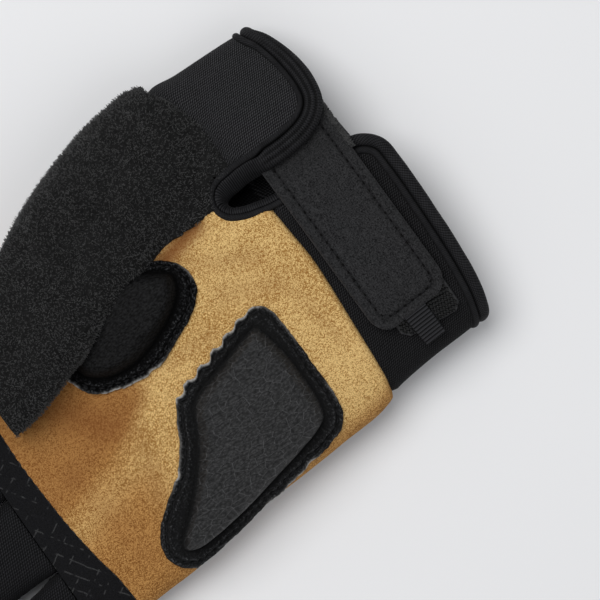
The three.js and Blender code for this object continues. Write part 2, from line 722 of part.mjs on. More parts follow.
// Finger tubes from the finger bases, open at both ends
function fingerTube({ from, to, length, lean }) {
  const root = handSection(palmLength);
  const left = root.middle - root.half;
  const width = 2 * root.half;
  const start = palmLength + seamGap;
  const point = (share, angle, height) => {
    const shape = (column) => readTable(fingerShape, "along", column, share);
    const top = root.top * shape("height");
    const section = {
      middle: left + (width * (from + to)) / 2 + lean * handWidth * share ** 1.5,
      half: ((width * (to - from)) / 2) * shape("width") - seamGap / 2,
      top,
      belly: bellyShare * top,
    };
    return sectionPoint(section, shape("round"), 0, angle, start + share * length * fingerLength, height);
  };
  const ring = (share, height) => ringOf((angle) => point(share, angle, height), fingerSteps);
  const outside = fingerShape.map(({ along }) => ring(along, 0));
  const inside = fingerShape.map(({ along }) => ring(along, -fingerWall)).reverse();
  return loft([...outside, ...inside], true);
}

// The assembly
const materials = {
  suede: { color: 0xc39a5c, roughness: 0.95 },
  stretch: { color: 0x1b1b1d, roughness: 0.85 },
  terry: { color: 0x151516, roughness: 1 },
  knit: { color: 0x17171a, roughness: 0.8 },
  binding: { color: 0x19191b, roughness: 0.75 },
  leather: { color: 0x1d1e20, roughness: 0.5 },
  microfibre: { color: 0x1c1c1e, roughness: 0.9 },
  hook: { color: 0x101011, roughness: 0.7 },
  ribbon: { color: 0x202123, roughness: 0.7 },
};
const group = new THREE.Group();
function addPiece(name, geometry, material) {
  const flat = geometry.toNonIndexed();
  flat.computeVertexNormals();
  const mesh = new THREE.Mesh(flat, new THREE.MeshStandardMaterial({ ...materials[material], metalness: 0 }));
  mesh.name = name;
  group.add(mesh);
}
addPiece("palm", toGeometry(palm), "suede");
addPiece("back", toGeometry(back), "stretch");
addPiece("thumb", toGeometry(thumb), "terry");
addPiece("finger_base_patch", toGeometry(patch), "stretch");
addPiece("heel_pad", toGeometry(heelPad), "leather");
addPiece("thenar_pad", toGeometry(thenarPad), "leather");
addPiece("cuff", cuff, "knit");
addPiece("cuff_binding", binding, "binding");
addPiece("strap", strap, "microfibre");
addPiece("hook_patch", hookPatch, "hook");
addPiece("pull_tab", pullTab, "ribbon");
for (const row of fingerRows) addPiece(row.name, fingerTube(row), "stretch");

// The origin is the middle of the underside
const bounds = new THREE.Box3().setFromObject(group);
const centre = bounds.getCenter(new THREE.Vector3());
group.position.set(-centre.x, -centre.y, -bounds.min.z);

export default group;
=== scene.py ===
import bpy
import numpy as np
from mathutils import Matrix


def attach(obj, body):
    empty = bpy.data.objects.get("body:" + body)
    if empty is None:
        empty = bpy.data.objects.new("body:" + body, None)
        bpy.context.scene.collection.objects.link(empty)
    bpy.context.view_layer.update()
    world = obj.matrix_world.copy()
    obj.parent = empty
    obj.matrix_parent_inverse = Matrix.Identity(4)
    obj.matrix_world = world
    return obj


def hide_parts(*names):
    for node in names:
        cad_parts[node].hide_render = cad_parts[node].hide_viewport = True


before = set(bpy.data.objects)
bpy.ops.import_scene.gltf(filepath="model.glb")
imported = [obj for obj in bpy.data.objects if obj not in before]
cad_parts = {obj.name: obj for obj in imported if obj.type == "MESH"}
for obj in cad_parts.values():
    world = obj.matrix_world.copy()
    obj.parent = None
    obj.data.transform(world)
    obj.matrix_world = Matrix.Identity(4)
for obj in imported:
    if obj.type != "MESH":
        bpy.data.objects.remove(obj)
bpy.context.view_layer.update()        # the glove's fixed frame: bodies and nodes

# The glove lies palm up: +X to the thumb, +Y to the fingertips, +Z out of the palm.
# Shapes are worked out in millimetres from the little-finger end of the palm and cuff seam.

metre = 0.001
seamCorner = np.array([-45.98, -46.79, 0.0])      # that corner in the frame
chance = np.random.default_rng(7)
print("stage: frame loaded,", len(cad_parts), "nodes")


def table(keys, *rows):
    # rows of numbers under their names
    return [dict(zip(keys.split(), row)) for row in rows]


hand = dict(width=100.0, palmLength=100.0, height=22.0, cuffLength=36.0, fingerLength=30.0,
            belly=0.45, keel=1.12, roundness=2.5, sideSeam=6.0,
            palmTurn=0.26, backTurn=0.24, seamTurn=0.25)

handRows = table(  # along below the seam in cuff lengths, above it in palm lengths; edges in hand widths
    "along little thumb top",
    (-1.1, 0.032, 1.0, 1.04), (-0.69, 0.023, 1.013, 1.04), (-0.33, 0.015, 1.018, 1.03),
    (0.0, 0.0, 1.02, 1.0), (0.05, -0.02, 1.018, 1.0), (0.12, -0.028, 1.0, 1.01),
    (0.2, -0.031, 0.97, 1.02), (0.3, -0.035, 0.93, 1.01), (0.45, -0.046, 0.885, 0.97),
    (0.6, -0.07, 0.86, 0.9), (0.75, -0.084, 0.85, 0.84), (0.9, -0.09, 0.845, 0.8),
    (1.06, -0.09, 0.845, 0.77),
)
palmFolds = table(  # broad dents and swells
    "across along wide long depth",
    (0.5, 0.13, 0.1, 0.07, -0.05), (0.62, 0.24, 0.045, 0.1, -0.05), (0.42, 0.68, 0.13, 0.1, -0.06),
    (0.56, 0.48, 0.16, 0.16, 0.05),
)
cuffSeam = table(  # across in hand widths, along in cuff lengths
    "across along",
    (-0.1, 0.02), (0.0, 0.0), (0.05, -0.022), (0.2, -0.047), (0.4, -0.075), (0.5, -0.056),
    (0.58, -0.036), (0.75, 0.036), (0.85, 0.045), (0.95, 0.11), (1.02, 0.22), (1.1, 0.3),
)
patchEdge = table(  # lower edge of the panel at the finger bases
    "across along",
    (-0.2, 0.868), (0.0, 0.87), (0.1, 0.888), (0.25, 0.905), (0.45, 0.912), (0.65, 0.9), (0.85, 0.88),
    (1.1, 0.87),
)


def readTable(rows, key, column, at):
    # a smooth curve through a table's rows: on each span a straight blend plus a bow that meets the slopes
    x = np.array([row[key] for row in rows])
    v = np.array([row[column] for row in rows])
    at = np.asarray(at, float)
    i = np.clip(np.searchsorted(x, at, side="left") - 1, 0, len(x) - 2)
    last = len(x) - 1
    span = x[i + 1] - x[i]
    before, after = np.maximum(i - 1, 0), np.minimum(i + 2, last)
    startSlope = (v[i + 1] - v[before]) / (x[i + 1] - x[before])
    endSlope = (v[after] - v[i]) / (x[after] - x[i])
    t = np.clip((at - x[i]) / span, 0, 1)
    s = t * t * (3 - 2 * t)
    bow = t * (1 - t) * span
    return v[i] * (1 - s) + v[i + 1] * s + bow * ((1 - t) * startSlope - t * endSlope)


def smoothStep(low, high, value):
    t = np.clip((np.asarray(value, float) - low) / (high - low), 0, 1)
    return t * t * (3 - 2 * t)


def bell(value, wide):
    return np.exp(-(np.asarray(value, float) / wide) ** 2)


def signedPower(value, power):
    return np.sign(value) * np.abs(value) ** power


def unit(vectors):
    return vectors / np.maximum(np.linalg.norm(vectors, axis=-1, keepdims=True), 1e-9)


def lengthAlong(line):
    # running length at each point of a line
    return np.concatenate([[0], np.cumsum(np.linalg.norm(np.diff(line, axis=0), axis=1))])


def readLine(at, length, values):
    # the values at some lengths along a line
    return np.stack([np.interp(at, length, column) for column in values.T], -1)


def apart(points):
    return np.moveaxis(points, -1, 0)


def walkRound(points):
    # running length along each row of a grid
    return np.cumsum(np.linalg.norm(np.diff(points, axis=1, prepend=points[:, :1]), axis=2), 1)


def fromMiddle(points, middle, belly):
    # from the middle line of the section to each point
    return points - np.stack([middle, points[..., 1], belly], -1)


handStations = [dict(row, y=row["along"] * (hand["cuffLength"] if row["along"] < 0 else hand["palmLength"]))
                for row in handRows]


def handSection(y):
    # middle, half width, height of the top and of the widest line at a place along the hand
    little = hand["width"] * readTable(handStations, "y", "little", y)
    thumb = hand["width"] * readTable(handStations, "y", "thumb", y)
    top = hand["height"] * readTable(handStations, "y", "top", y)
    return (little + thumb) / 2, (thumb - little) / 2, top, hand["belly"] * top


def foldHeight(x, y):
    # sum of soft bumps, each a bell in x and y
    total = np.zeros(np.broadcast(x, y).shape)
    for fold in palmFolds:
        dx = (x / hand["width"] - fold["across"]) / fold["wide"]
        dy = (y / hand["palmLength"] - fold["along"]) / fold["long"]
        total = total + fold["depth"] * np.exp(-dx * dx - dy * dy)
    return total * hand["height"]


def handPoint(angle, y, height):
    # a rounded section: cosine and sine raised to a power below one, wider and taller by the height
    middle, half, top, belly = handSection(y)
    power = 2 / hand["roundness"]
    up = signedPower(np.sin(angle), power)
    x = middle + (half + height) * signedPower(np.cos(angle), power)
    z = belly + up * np.where(up > 0, top - belly + height, hand["keel"] * belly + height)
    z = np.maximum(z, -np.asarray(height)) + np.maximum(0, np.sin(angle)) * foldHeight(x, y)
    x, y, z = np.broadcast_arrays(x, y, np.maximum(z, 0))
    return np.stack([x, y, z], -1)


def insideHand(x, y, z, shrink):
    # true where a point is deeper in the hand than the shrink
    middle, half, top, belly = handSection(y)
    up = np.where(z > belly, top - belly + foldHeight(x, y), hand["keel"] * belly) - shrink
    across = np.abs((x - middle) / (half - shrink)) ** hand["roundness"]
    return (across + np.abs((z - belly) / up) ** hand["roundness"] < 1) & (z > max(shrink, 0))


def angleAcross(x, y):
    # angle of the palm side's point at a place across the hand
    middle, half, _, _ = handSection(y)
    return np.arccos(signedPower(np.clip((x - middle) / half, -1, 1), hand["roundness"] / 2))


def onSkin(x, y, height):
    # the palm side's point at a place, raised at right angles to the surface
    middle, half, _, _ = handSection(y)
    x = np.clip(x, middle - 0.985 * half, middle + 0.985 * half)
    angle = angleAcross(x, y)
    point = handPoint(angle, y, 0)
    along = handPoint(angle, y + 0.3, 0) - handPoint(angle, y - 0.3, 0)
    across = handPoint(angle - 0.01, y, 0) - handPoint(angle + 0.01, y, 0)
    normal = unit(np.cross(across, along))
    return point + normal * np.broadcast_to(height, x.shape)[..., None], normal


def seamAlong(x):
    return hand["cuffLength"] * readTable(cuffSeam, "across", "along", np.asarray(x) / hand["width"])


def patchAlong(x):
    return hand["palmLength"] * readTable(patchEdge, "across", "along", np.asarray(x) / hand["width"])


# Soft noise for folds: random heights on a lattice, blended smoothly between its points
noiseLattice = chance.uniform(-1, 1, (64, 64))


def softNoise(u, v, size, shift=0.0):
    u, v = np.asarray(u) / size + shift, np.asarray(v) / size + 1.7 * shift
    i, j = np.floor(u).astype(int), np.floor(v).astype(int)
    s, t = u - i, v - j
    s, t = s * s * (3 - 2 * s), t * t * (3 - 2 * t)

    def at(a, b):
        return noiseLattice[a % 64, b % 64]
    low = at(i, j) * (1 - s) + at(i + 1, j) * s
    high = at(i, j + 1) * (1 - s) + at(i + 1, j + 1) * s
    return low * (1 - t) + high * t


# Distance round the cuff, from the thumb side over the palm side and the back
girthAngles = np.linspace(0, 2 * np.pi, 721)
girthTable = handPoint(girthAngles, -hand["cuffLength"] / 2, 0.0)
girthTable = lengthAlong(girthTable)
girth = girthTable[-1]


def girthAt(angle):
    turns = np.floor(np.asarray(angle) / (2 * np.pi))
    return turns * girth + np.interp(angle - turns * 2 * np.pi, girthAngles, girthTable)


def angleAt(distance):
    turns = np.floor(np.asarray(distance) / girth)
    return turns * 2 * np.pi + np.interp(distance - turns * girth, girthTable, girthAngles)


def makeObject(name, points, faces, uv=None, smooth=True, fields=None):
    # millimetre points to a mesh in the frame, with a map in millimetres and named values on the points
    mesh = bpy.data.meshes.new(name)
    points = (np.asarray(points, float).reshape(-1, 3) + seamCorner) * metre
    faces = np.asarray(faces, int)
    mesh.vertices.add(len(points))
    mesh.vertices.foreach_set("co", points.ravel())
    mesh.loops.add(faces.size)
    mesh.loops.foreach_set("vertex_index", faces.ravel())
    mesh.polygons.add(len(faces))
    mesh.polygons.foreach_set("loop_start", np.arange(len(faces)) * faces.shape[1])
    mesh.polygons.foreach_set("loop_total", np.full(len(faces), faces.shape[1]))
    if uv is not None:
        layer = mesh.uv_layers.new(name="cloth")
        layer.data.foreach_set("uv", np.asarray(uv, float).reshape(-1, 2)[faces.ravel()].ravel())
    for key, value in (fields or {}).items():
        data = mesh.attributes.new(key, "FLOAT", "POINT")
        data.data.foreach_set("value", np.asarray(value, float).ravel())
    mesh.polygons.foreach_set("use_smooth", np.full(len(faces), smooth))
    mesh.update(calc_edges=True)
    obj = bpy.data.objects.new(name, mesh)
    bpy.context.scene.collection.objects.link(obj)
    return obj


def gridFaces(rows, columns, closeColumns=False):
    # quads between neighbouring rows and columns of a grid
    i = np.arange(rows - 1)
    j = np.arange(columns if closeColumns else columns - 1)
    i, j = np.meshgrid(i, j, indexing="ij")
    down, right = i + 1, (j + 1) % columns
    quads = np.stack([i * columns + j, down * columns + j, down * columns + right, i * columns + right], -1)
    return quads.reshape(-1, 4)


def gridObject(name, points, outward, keep=None, closeColumns=False, uv=None, fields=None):
    # a grid of points made a skin that faces outward; faces with a dropped corner are left out
    rows, columns = points.shape[:2]
    faces = gridFaces(rows, columns, closeColumns=closeColumns)
    flat, outward = points.reshape(-1, 3), np.broadcast_to(outward, points.shape).reshape(-1, 3)
    corner = flat[faces]
    normal = np.cross(corner[:, 2] - corner[:, 0], corner[:, 3] - corner[:, 1])
    if np.median(np.einsum("ij,ij->i", unit(normal), unit(outward[faces[:, 0]]))) < 0:
        faces = faces[:, ::-1]
    if keep is not None:
        faces = faces[keep.ravel()[faces].all(1)]
    used, faces = np.unique(faces, return_inverse=True)
    faces = faces.reshape(-1, 4)
    uv = None if uv is None else np.stack(np.broadcast_arrays(*uv), -1).reshape(-1, 2)[used]
    fields = {key: np.broadcast_to(value, (rows, columns)).ravel()[used]
              for key, value in (fields or {}).items()}
    return makeObject(name, flat[used], faces, uv=uv, fields=fields)


def gridNormals(points, outward, closed=False):
    # direction at right angles to a grid's rows and columns, on the outward side
    if closed:
        across = np.roll(points, -1, 1) - np.roll(points, 1, 1)
    else:
        across = np.gradient(points, axis=1)
    normal = unit(np.cross(np.gradient(points, axis=0), across))
    side = np.sign(np.einsum("ijk,ijk->ij", normal, np.broadcast_to(outward, points.shape)))
    return normal * side[..., None]


def thicken(obj, wall):
    # gives a skin its wall, on the inward side
    modifier = obj.modifiers.new("Solidify", "SOLIDIFY")
    modifier.thickness, modifier.offset = wall * metre, -1.0


def smoothLine(points, perSpan, closed=False):
    # a curve through points whose spans count by the root of their length, so that it never loops
    p = np.asarray(points, float)
    p = np.concatenate([p[-1:], p, p[:2]] if closed else [2 * p[:1] - p[1:2], p, 2 * p[-1:] - p[-2:-1]])
    a, b, c, d = p[:-3, None], p[1:-2, None], p[2:-1, None], p[3:, None]
    gap = [np.sqrt(np.linalg.norm(q - r, axis=-1, keepdims=True)) for q, r in ((b, a), (c, b), (d, c))]
    start = ((b - a) / gap[0] - (c - a) / (gap[0] + gap[1]) + (c - b) / gap[1]) * gap[1]
    end = ((c - b) / gap[1] - (d - b) / (gap[1] + gap[2]) + (d - c) / gap[2]) * gap[1]
    t = np.linspace(0, 1, perSpan, endpoint=False)[None, :, None]
    line = b + start * t + (3 * (c - b) - 2 * start - end) * t**2 + (2 * (b - c) + start + end) * t**3
    line = line.reshape(-1, p.shape[1])
    return line if closed else np.concatenate([line, p[-2:-1]])


def evenLine(line, count):
    # the same line with evenly spaced points
    length = lengthAlong(line)
    return readLine(np.linspace(0, length[-1], count), length, line)


def flatLoop(across, power):
    # once round a flat section: places across it, and how far out its face (over 0) or its underside lies
    full = (1 - np.abs(across) ** power) ** 0.5
    return np.concatenate([across, across[::-1][1:-1]]), np.concatenate([full, -full[::-1][1:-1]])


def closingIn(fromEnd, size):
    # from nothing at an end to one at a size, by a quarter circle
    return np.sqrt(1 - (1 - np.clip(fromEnd / size, 0, 1)) ** 2)[:, None]


def insideOutline(x, y, outline):
    # counts how often a level ray crosses the outline
    inside = np.zeros(np.shape(x), bool)
    for (ax, ay), (bx, by) in zip(outline, np.roll(outline, -1, 0)):
        if ay != by:
            inside ^= ((ay > y) != (by > y)) & (x < (bx - ax) * (y - ay) / (by - ay) + ax)
    return inside


def placesAlong(path, normals, pitch, closed=False):
    # evenly spaced places on a path, with the direction and the normal there
    if closed:
        path, normals = np.concatenate([path, path[:1]]), np.concatenate([normals, normals[:1]])
    length = lengthAlong(path)
    at = np.linspace(0, length[-1], max(2, int(round(length[-1] / pitch))), endpoint=not closed)
    spots, along, up = [readLine(at, length, field) for field in (path, np.gradient(path, axis=0), normals)]
    return spots, unit(along), unit(up)


def threadMesh(name, spots, alongs, ups, length, width, arch, rings=5, sides=6):
    # short arched threads: each a round section on a parabola over its spot, drawn in at both ends
    t = np.linspace(-1, 1, rings)
    turn = np.arange(sides) * 2 * np.pi / sides
    length, arch = np.broadcast_to(length, len(spots)), np.broadcast_to(arch, len(spots))
    centre = (spots[:, None] + alongs[:, None] * (length[:, None] * t / 2)[..., None]
              + ups[:, None] * (arch[:, None] * (1 - t**2))[..., None])
    slope = -4 * arch[:, None] * t / np.maximum(length[:, None], 1e-6)
    over = unit(ups[:, None] - alongs[:, None] * slope[..., None])
    side = np.cross(alongs, ups)[:, None]
    section = side[:, :, None] * np.cos(turn)[:, None] + over[:, :, None] * np.sin(turn)[:, None]
    section = section * width / 2
    points = centre[:, :, None] + section * np.sqrt(1 - 0.9 * t**6)[None, :, None, None]
    block = gridFaces(rings, sides, closeColumns=True)
    faces = block[None] + (np.arange(len(spots)) * rings * sides)[:, None, None]
    return makeObject(name, points.reshape(-1, 3), faces.reshape(-1, 4))


def sew(name, places, size, finish, slot, rise=0.0):
    # a row of stitches: the places, their length, width and arch, and how far they stand out
    spots, alongs, ups = places
    finishPiece(threadMesh(name, spots + ups * rise, alongs, ups, *size), finish, slot)


def scatter(points, outward, count):
    # random places on a grid's faces, as many on each as its area asks, with the normals
    corner = points.reshape(-1, 3)[gridFaces(*points.shape[:2])]
    area = np.linalg.norm(np.cross(corner[:, 2] - corner[:, 0], corner[:, 3] - corner[:, 1]), axis=1)
    pick = chance.choice(len(corner), count, p=area / area.sum())
    s, t = chance.random((2, count, 1))
    corner = corner[pick]
    near = corner[:, 0] * (1 - s) + corner[:, 1] * s
    far = corner[:, 3] * (1 - s) + corner[:, 2] * s
    spots = near * (1 - t) + far * t
    normal = unit(np.cross(corner[:, 2] - corner[:, 0], corner[:, 3] - corner[:, 1]))
    away = outward.reshape(-1, 3)[gridFaces(*points.shape[:2])[pick, 0]]
    return spots, normal * np.sign(np.einsum("ij,ij->i", normal, away))[:, None]


def feed(tree, socket, value):
    # links a wire to a socket, or sets a plain value there
    if isinstance(value, Wire):
        tree.links.new(value.socket, socket)
    else:
        socket.default_value = value


class Wire:
    # a socket that can stand in a sum: each sign adds the Math node it means
    def __init__(self, tree, socket):
        self.tree, self.socket = tree, socket

    def maths(self, operation, *values, clamp=False):
        node = self.tree.nodes.new("ShaderNodeMath")
        node.operation, node.use_clamp = operation, clamp
        for socket, value in zip(node.inputs, values):
            feed(self.tree, socket, value)
        return Wire(self.tree, node.outputs[0])

    def __add__(self, other): return self.maths("ADD", self, other)
    def __radd__(self, other): return self.maths("ADD", other, self)
    def __sub__(self, other): return self.maths("SUBTRACT", self, other)
    def __rsub__(self, other): return self.maths("SUBTRACT", other, self)
    def __mul__(self, other): return self.maths("MULTIPLY", self, other)
    def __rmul__(self, other): return self.maths("MULTIPLY", other, self)
    def __truediv__(self, other): return self.maths("DIVIDE", self, other)
    def __rtruediv__(self, other): return self.maths("DIVIDE", other, self)

    def sine(self): return self.maths("SINE", self)
    def fraction(self): return self.maths("FRACT", self)
    def whole(self): return self.maths("FLOOR", self)
    def size(self): return self.maths("ABSOLUTE", self)
    def most(self, other): return self.maths("MAXIMUM", self, other)
    def least(self, other): return self.maths("MINIMUM", self, other)
    def held(self): return self.maths("ADD", self, 0.0, clamp=True)


class Finish:
    # one material: its nodes come from add(), its shader is closed by close()
    def __init__(self, name):
        self.material = bpy.data.materials.new(name)
        self.material.use_nodes = True
        self.tree = self.material.node_tree
        self.tree.nodes.clear()

    def add(self, kind, settings=None, inputs=None, out=0):
        node = self.tree.nodes.new("ShaderNode" + kind)
        for key, value in (settings or {}).items():
            setattr(node, key, value)
        for key, value in (inputs or {}).items():
            feed(self.tree, node.inputs[key], value)
        return Wire(self.tree, node.outputs[out])

    def place(self, scale=(1000, 1000, 1000), turn=(0, 0, 0)):
        # where a point is in the object, in millimetres unless scaled otherwise
        here = self.add("TexCoord", out="Object")
        return self.add("Mapping", inputs={"Vector": here, "Scale": scale, "Rotation": turn})

    def cloth(self):
        # places on the cloth's own map, in millimetres across and along
        here = self.add("UVMap", {"uv_map": "cloth"})
        split = self.tree.nodes.new("ShaderNodeSeparateXYZ")
        self.tree.links.new(here.socket, split.inputs[0])
        return Wire(self.tree, split.outputs[0]), Wire(self.tree, split.outputs[1])

    def value(self, name):
        return self.add("Attribute", {"attribute_name": name}, out="Fac")

    def noise(self, place, size, detail=2.0, rough=0.5, twist=0.0):
        return self.add("TexNoise", inputs={"Vector": place, "Scale": 1 / size, "Detail": detail,
                                            "Roughness": rough, "Distortion": twist})

    def cells(self, place, size, feature="F1", across="3D"):
        return self.add("TexVoronoi", {"feature": feature, "voronoi_dimensions": across},
                        {"Vector": place, "Scale": 1 / size})

    def blend(self, factor, low, high):
        # colour mix
        node = self.tree.nodes.new("ShaderNodeMix")
        node.data_type = "RGBA"
        for key, value in ((0, factor), (6, low), (7, high)):
            feed(self.tree, node.inputs[key], value)
        return Wire(self.tree, node.outputs[2])

    def range(self, value, low, high, start=0.0, end=1.0):
        return self.add("MapRange", inputs={"Value": value, "From Min": low, "From Max": high,
                                            "To Min": start, "To Max": end})

    def bump(self, height, millimetres, strength):
        return self.add("Bump", inputs={"Height": height, "Distance": millimetres * metre,
                                        "Strength": strength})

    def close(self, colour, roughness, normal, **fixed):
        # fixed holds the values that are the same all over, set on the shader itself
        shader = self.tree.nodes.new("ShaderNodeBsdfPrincipled")
        for key, value in (("Base Color", colour), ("Roughness", roughness), ("Normal", normal)):
            feed(self.tree, shader.inputs[key], value)
        for key, value in fixed.items():
            shader.inputs[key.replace("_", " ")].default_value = value
        output = self.tree.nodes.new("ShaderNodeOutputMaterial")
        self.tree.links.new(shader.outputs[0], output.inputs[0])
        return self.material


def tone(red, green, blue):
    # screen colour, 0 to 255, to the shader's light values
    c = np.array([red, green, blue]) / 255
    return tuple(np.where(c <= 0.04045, c / 12.92, ((c + 0.055) / 1.055) ** 2.4)) + (1.0,)


def makeSuede():
    # napped suede: fine grain and short brushed strokes, with wide soft patches of lighter and darker nap
    f = Finish("tanSuede")
    here = f.place()
    grain = f.noise(here, 0.5, 4.0, 0.85)
    dust = f.noise(f.place((1100, 900, 1000), (0.3, 0.2, 0.7)), 0.27, 1.0, 0.5)
    stroke = f.noise(f.place((1500, 900, 1200), (0, 0, 0.5)), 0.9, 2.0, 0.6)
    patch = f.noise(here, 9.0, 3.0, 0.6, 0.3)
    wide = f.noise(here, 26.0, 2.0, 0.5)
    nap = f.range(grain * 0.45 + dust * 0.35 + stroke * 0.2, 0.415, 0.585)
    streak = f.noise(f.place((1000, 450, 1000), (0, 0, 0)), 5.0, 2.0, 0.5, 0.5)
    shade = (nap * 0.95 + (patch - 0.5) * 0.35 + (wide - 0.5) * 0.5 + (streak - 0.5) * 0.25).held()
    # the darker tone goes where the palm is darker towards the fingers and where shade is painted; the
    # lighter tone also stands for the painted highlight on the fold
    lighterTone = f.blend(f.range(shade, 0.15, 0.75), tone(158, 112, 54), tone(236, 200, 134))
    darkerAndShaded = f.blend(f.range(shade, 0.15, 0.75), tone(126, 80, 36), tone(194, 144, 84))
    turned = (f.value("darkerAndShaded") + (patch - 0.5) * 0.4).held()
    colour = f.blend(turned, lighterTone, darkerAndShaded)
    # painted shade: darker in the palm's creases, along the thumb's edge and beside the fold
    colour = f.blend((f.value("crease") * 0.62).held(), colour, tone(124, 74, 38))
    pits = f.range(f.noise(here, 0.32, 1.0, 0.5), 0.56, 0.7)
    colour = f.blend(pits * 0.45, colour, tone(128, 86, 40))
    height = grain * 0.6 + stroke * 0.35 + patch * 0.4
    return f.close(colour, 0.95, f.bump(height, 0.45, 0.9), Sheen_Weight=0.1, Sheen_Roughness=0.5,
                   Sheen_Tint=tone(240, 208, 150), Specular_IOR_Level=0.05)


def makeKnit(name, colour, light, course=0.72, wale=0.8, lean=0.5, bumpy=0.2):
    # knit: yarn crosses each wale at a slant, most of it one way, row by row; only the yarn's tops are light,
    # a painted highlight
    f = Finish(name)
    across, along = f.cloth()
    wander = f.noise(f.place(), 2.5, 2.0) * 0.4
    column = (across + wander) / wale
    fromTurn = (column.fraction() - 0.72).size()
    slant = fromTurn.least(1 - fromTurn)
    phase = (along + wander) / course + slant * (2 * lean) + column.whole() * 0.5
    yarn = (phase * (2 * np.pi)).sine() * 0.5 + 0.5
    edge = (column * (2 * np.pi)).sine() * 0.5 + 0.5
    fuzz = f.noise(f.place(), 0.3, 2.0, 0.7)
    height = yarn * 0.55 + edge * 0.35 + fuzz * 0.3
    blotch = f.noise(f.place(), 5.0, 2.0)
    mix = (f.range(height, 0.5, 1.05) + (fuzz - 0.5) * 0.8 + (blotch - 0.5) * 0.12).held()
    # the low field darkens the knit there as painted shade
    shaded = f.blend(f.value("low").held(), f.blend(mix, colour, light), tone(1, 1, 1))
    return f.close(shaded, 0.85, f.bump(height, bumpy, 0.9),
                   Sheen_Weight=0.02, Sheen_Roughness=0.35, Specular_IOR_Level=0.08)


def makeRollTricot():
    # tricot over the roll: a fine slanting stitch, drawn into ribs across the edge where it is gathered
    f = Finish("bindingKnit")
    across, along = f.cloth()
    wander = f.noise(f.place(), 2.2, 2.0) * 0.4
    rib = ((along + wander + across * 0.1) * (2 * np.pi / 0.62)).sine() * 0.34 + 0.54
    stitch = ((along * 0.8 + across + wander) * (2 * np.pi / 0.6)).sine() * 0.25 + 0.5
    stitch = stitch + ((along * 0.9 - across * 0.7) * (2 * np.pi / 0.75)).sine() * 0.25
    gather = f.value("gather")
    weave = rib * gather + stitch * (1 - gather)
    fuzz = f.noise(f.place(), 0.35, 2.0, 0.7)
    blotch = f.noise(f.place(), 3.0, 2.0)
    height = weave * 0.8 + fuzz * 0.3
    # painted highlight: the ribs' and stitches' tops are lighter
    mix = (f.range(height, 0.3, 1.0) + (blotch - 0.5) * 0.5).held()
    # painted shade in the grooves and where the roll and welt face the gaps beside them
    colour = f.blend(f.value("grooveShade").held(), f.blend(mix, tone(5, 5, 6), tone(48, 48, 50)), tone(1, 1, 1))
    return f.close(colour, f.range(height, 0, 1, 0.8, 0.6),
                   f.bump(height, 0.16, 0.9), Sheen_Weight=0.02, Sheen_Roughness=0.3, Specular_IOR_Level=0.1)


def makeTerry(name, colour, light):
    # looped terry ground: tight round cells with soft fibres
    f = Finish(name)
    here = f.place()
    loops = f.cells(here, 0.8)
    fibre = f.noise(here, 0.2, 3.0, 0.7)
    blotch = f.noise(here, 6.0, 2.0)
    height = (1 - loops) * 0.7 + fibre * 0.4
    # painted highlight: the loops' tops lighter
    tint = f.blend((height * 0.6 + blotch * 0.4 - 0.2).held(), colour, light)
    return f.close(tint, 0.95, f.bump(height, 0.5, 0.9), Sheen_Weight=0.04, Sheen_Roughness=0.4,
                   Specular_IOR_Level=0.06)


def makeThread(name, colour, light, shine=0.55):
    # yarn: fine fibre and wide patches, dark to light
    f = Finish(name)
    here = f.place()
    fibre = f.noise(here, 0.12, 2.0, 0.6)
    patch = f.noise(here, 3.0, 2.0)
    tint = f.blend((fibre * 0.6 + patch * 0.6 - 0.1).held(), colour, light)
    return f.close(tint, f.range(fibre, 0.3, 0.7, shine, shine + 0.25), f.bump(fibre, 0.05, 0.6),
                   Sheen_Weight=0.06, Sheen_Roughness=0.35, Specular_IOR_Level=0.12)


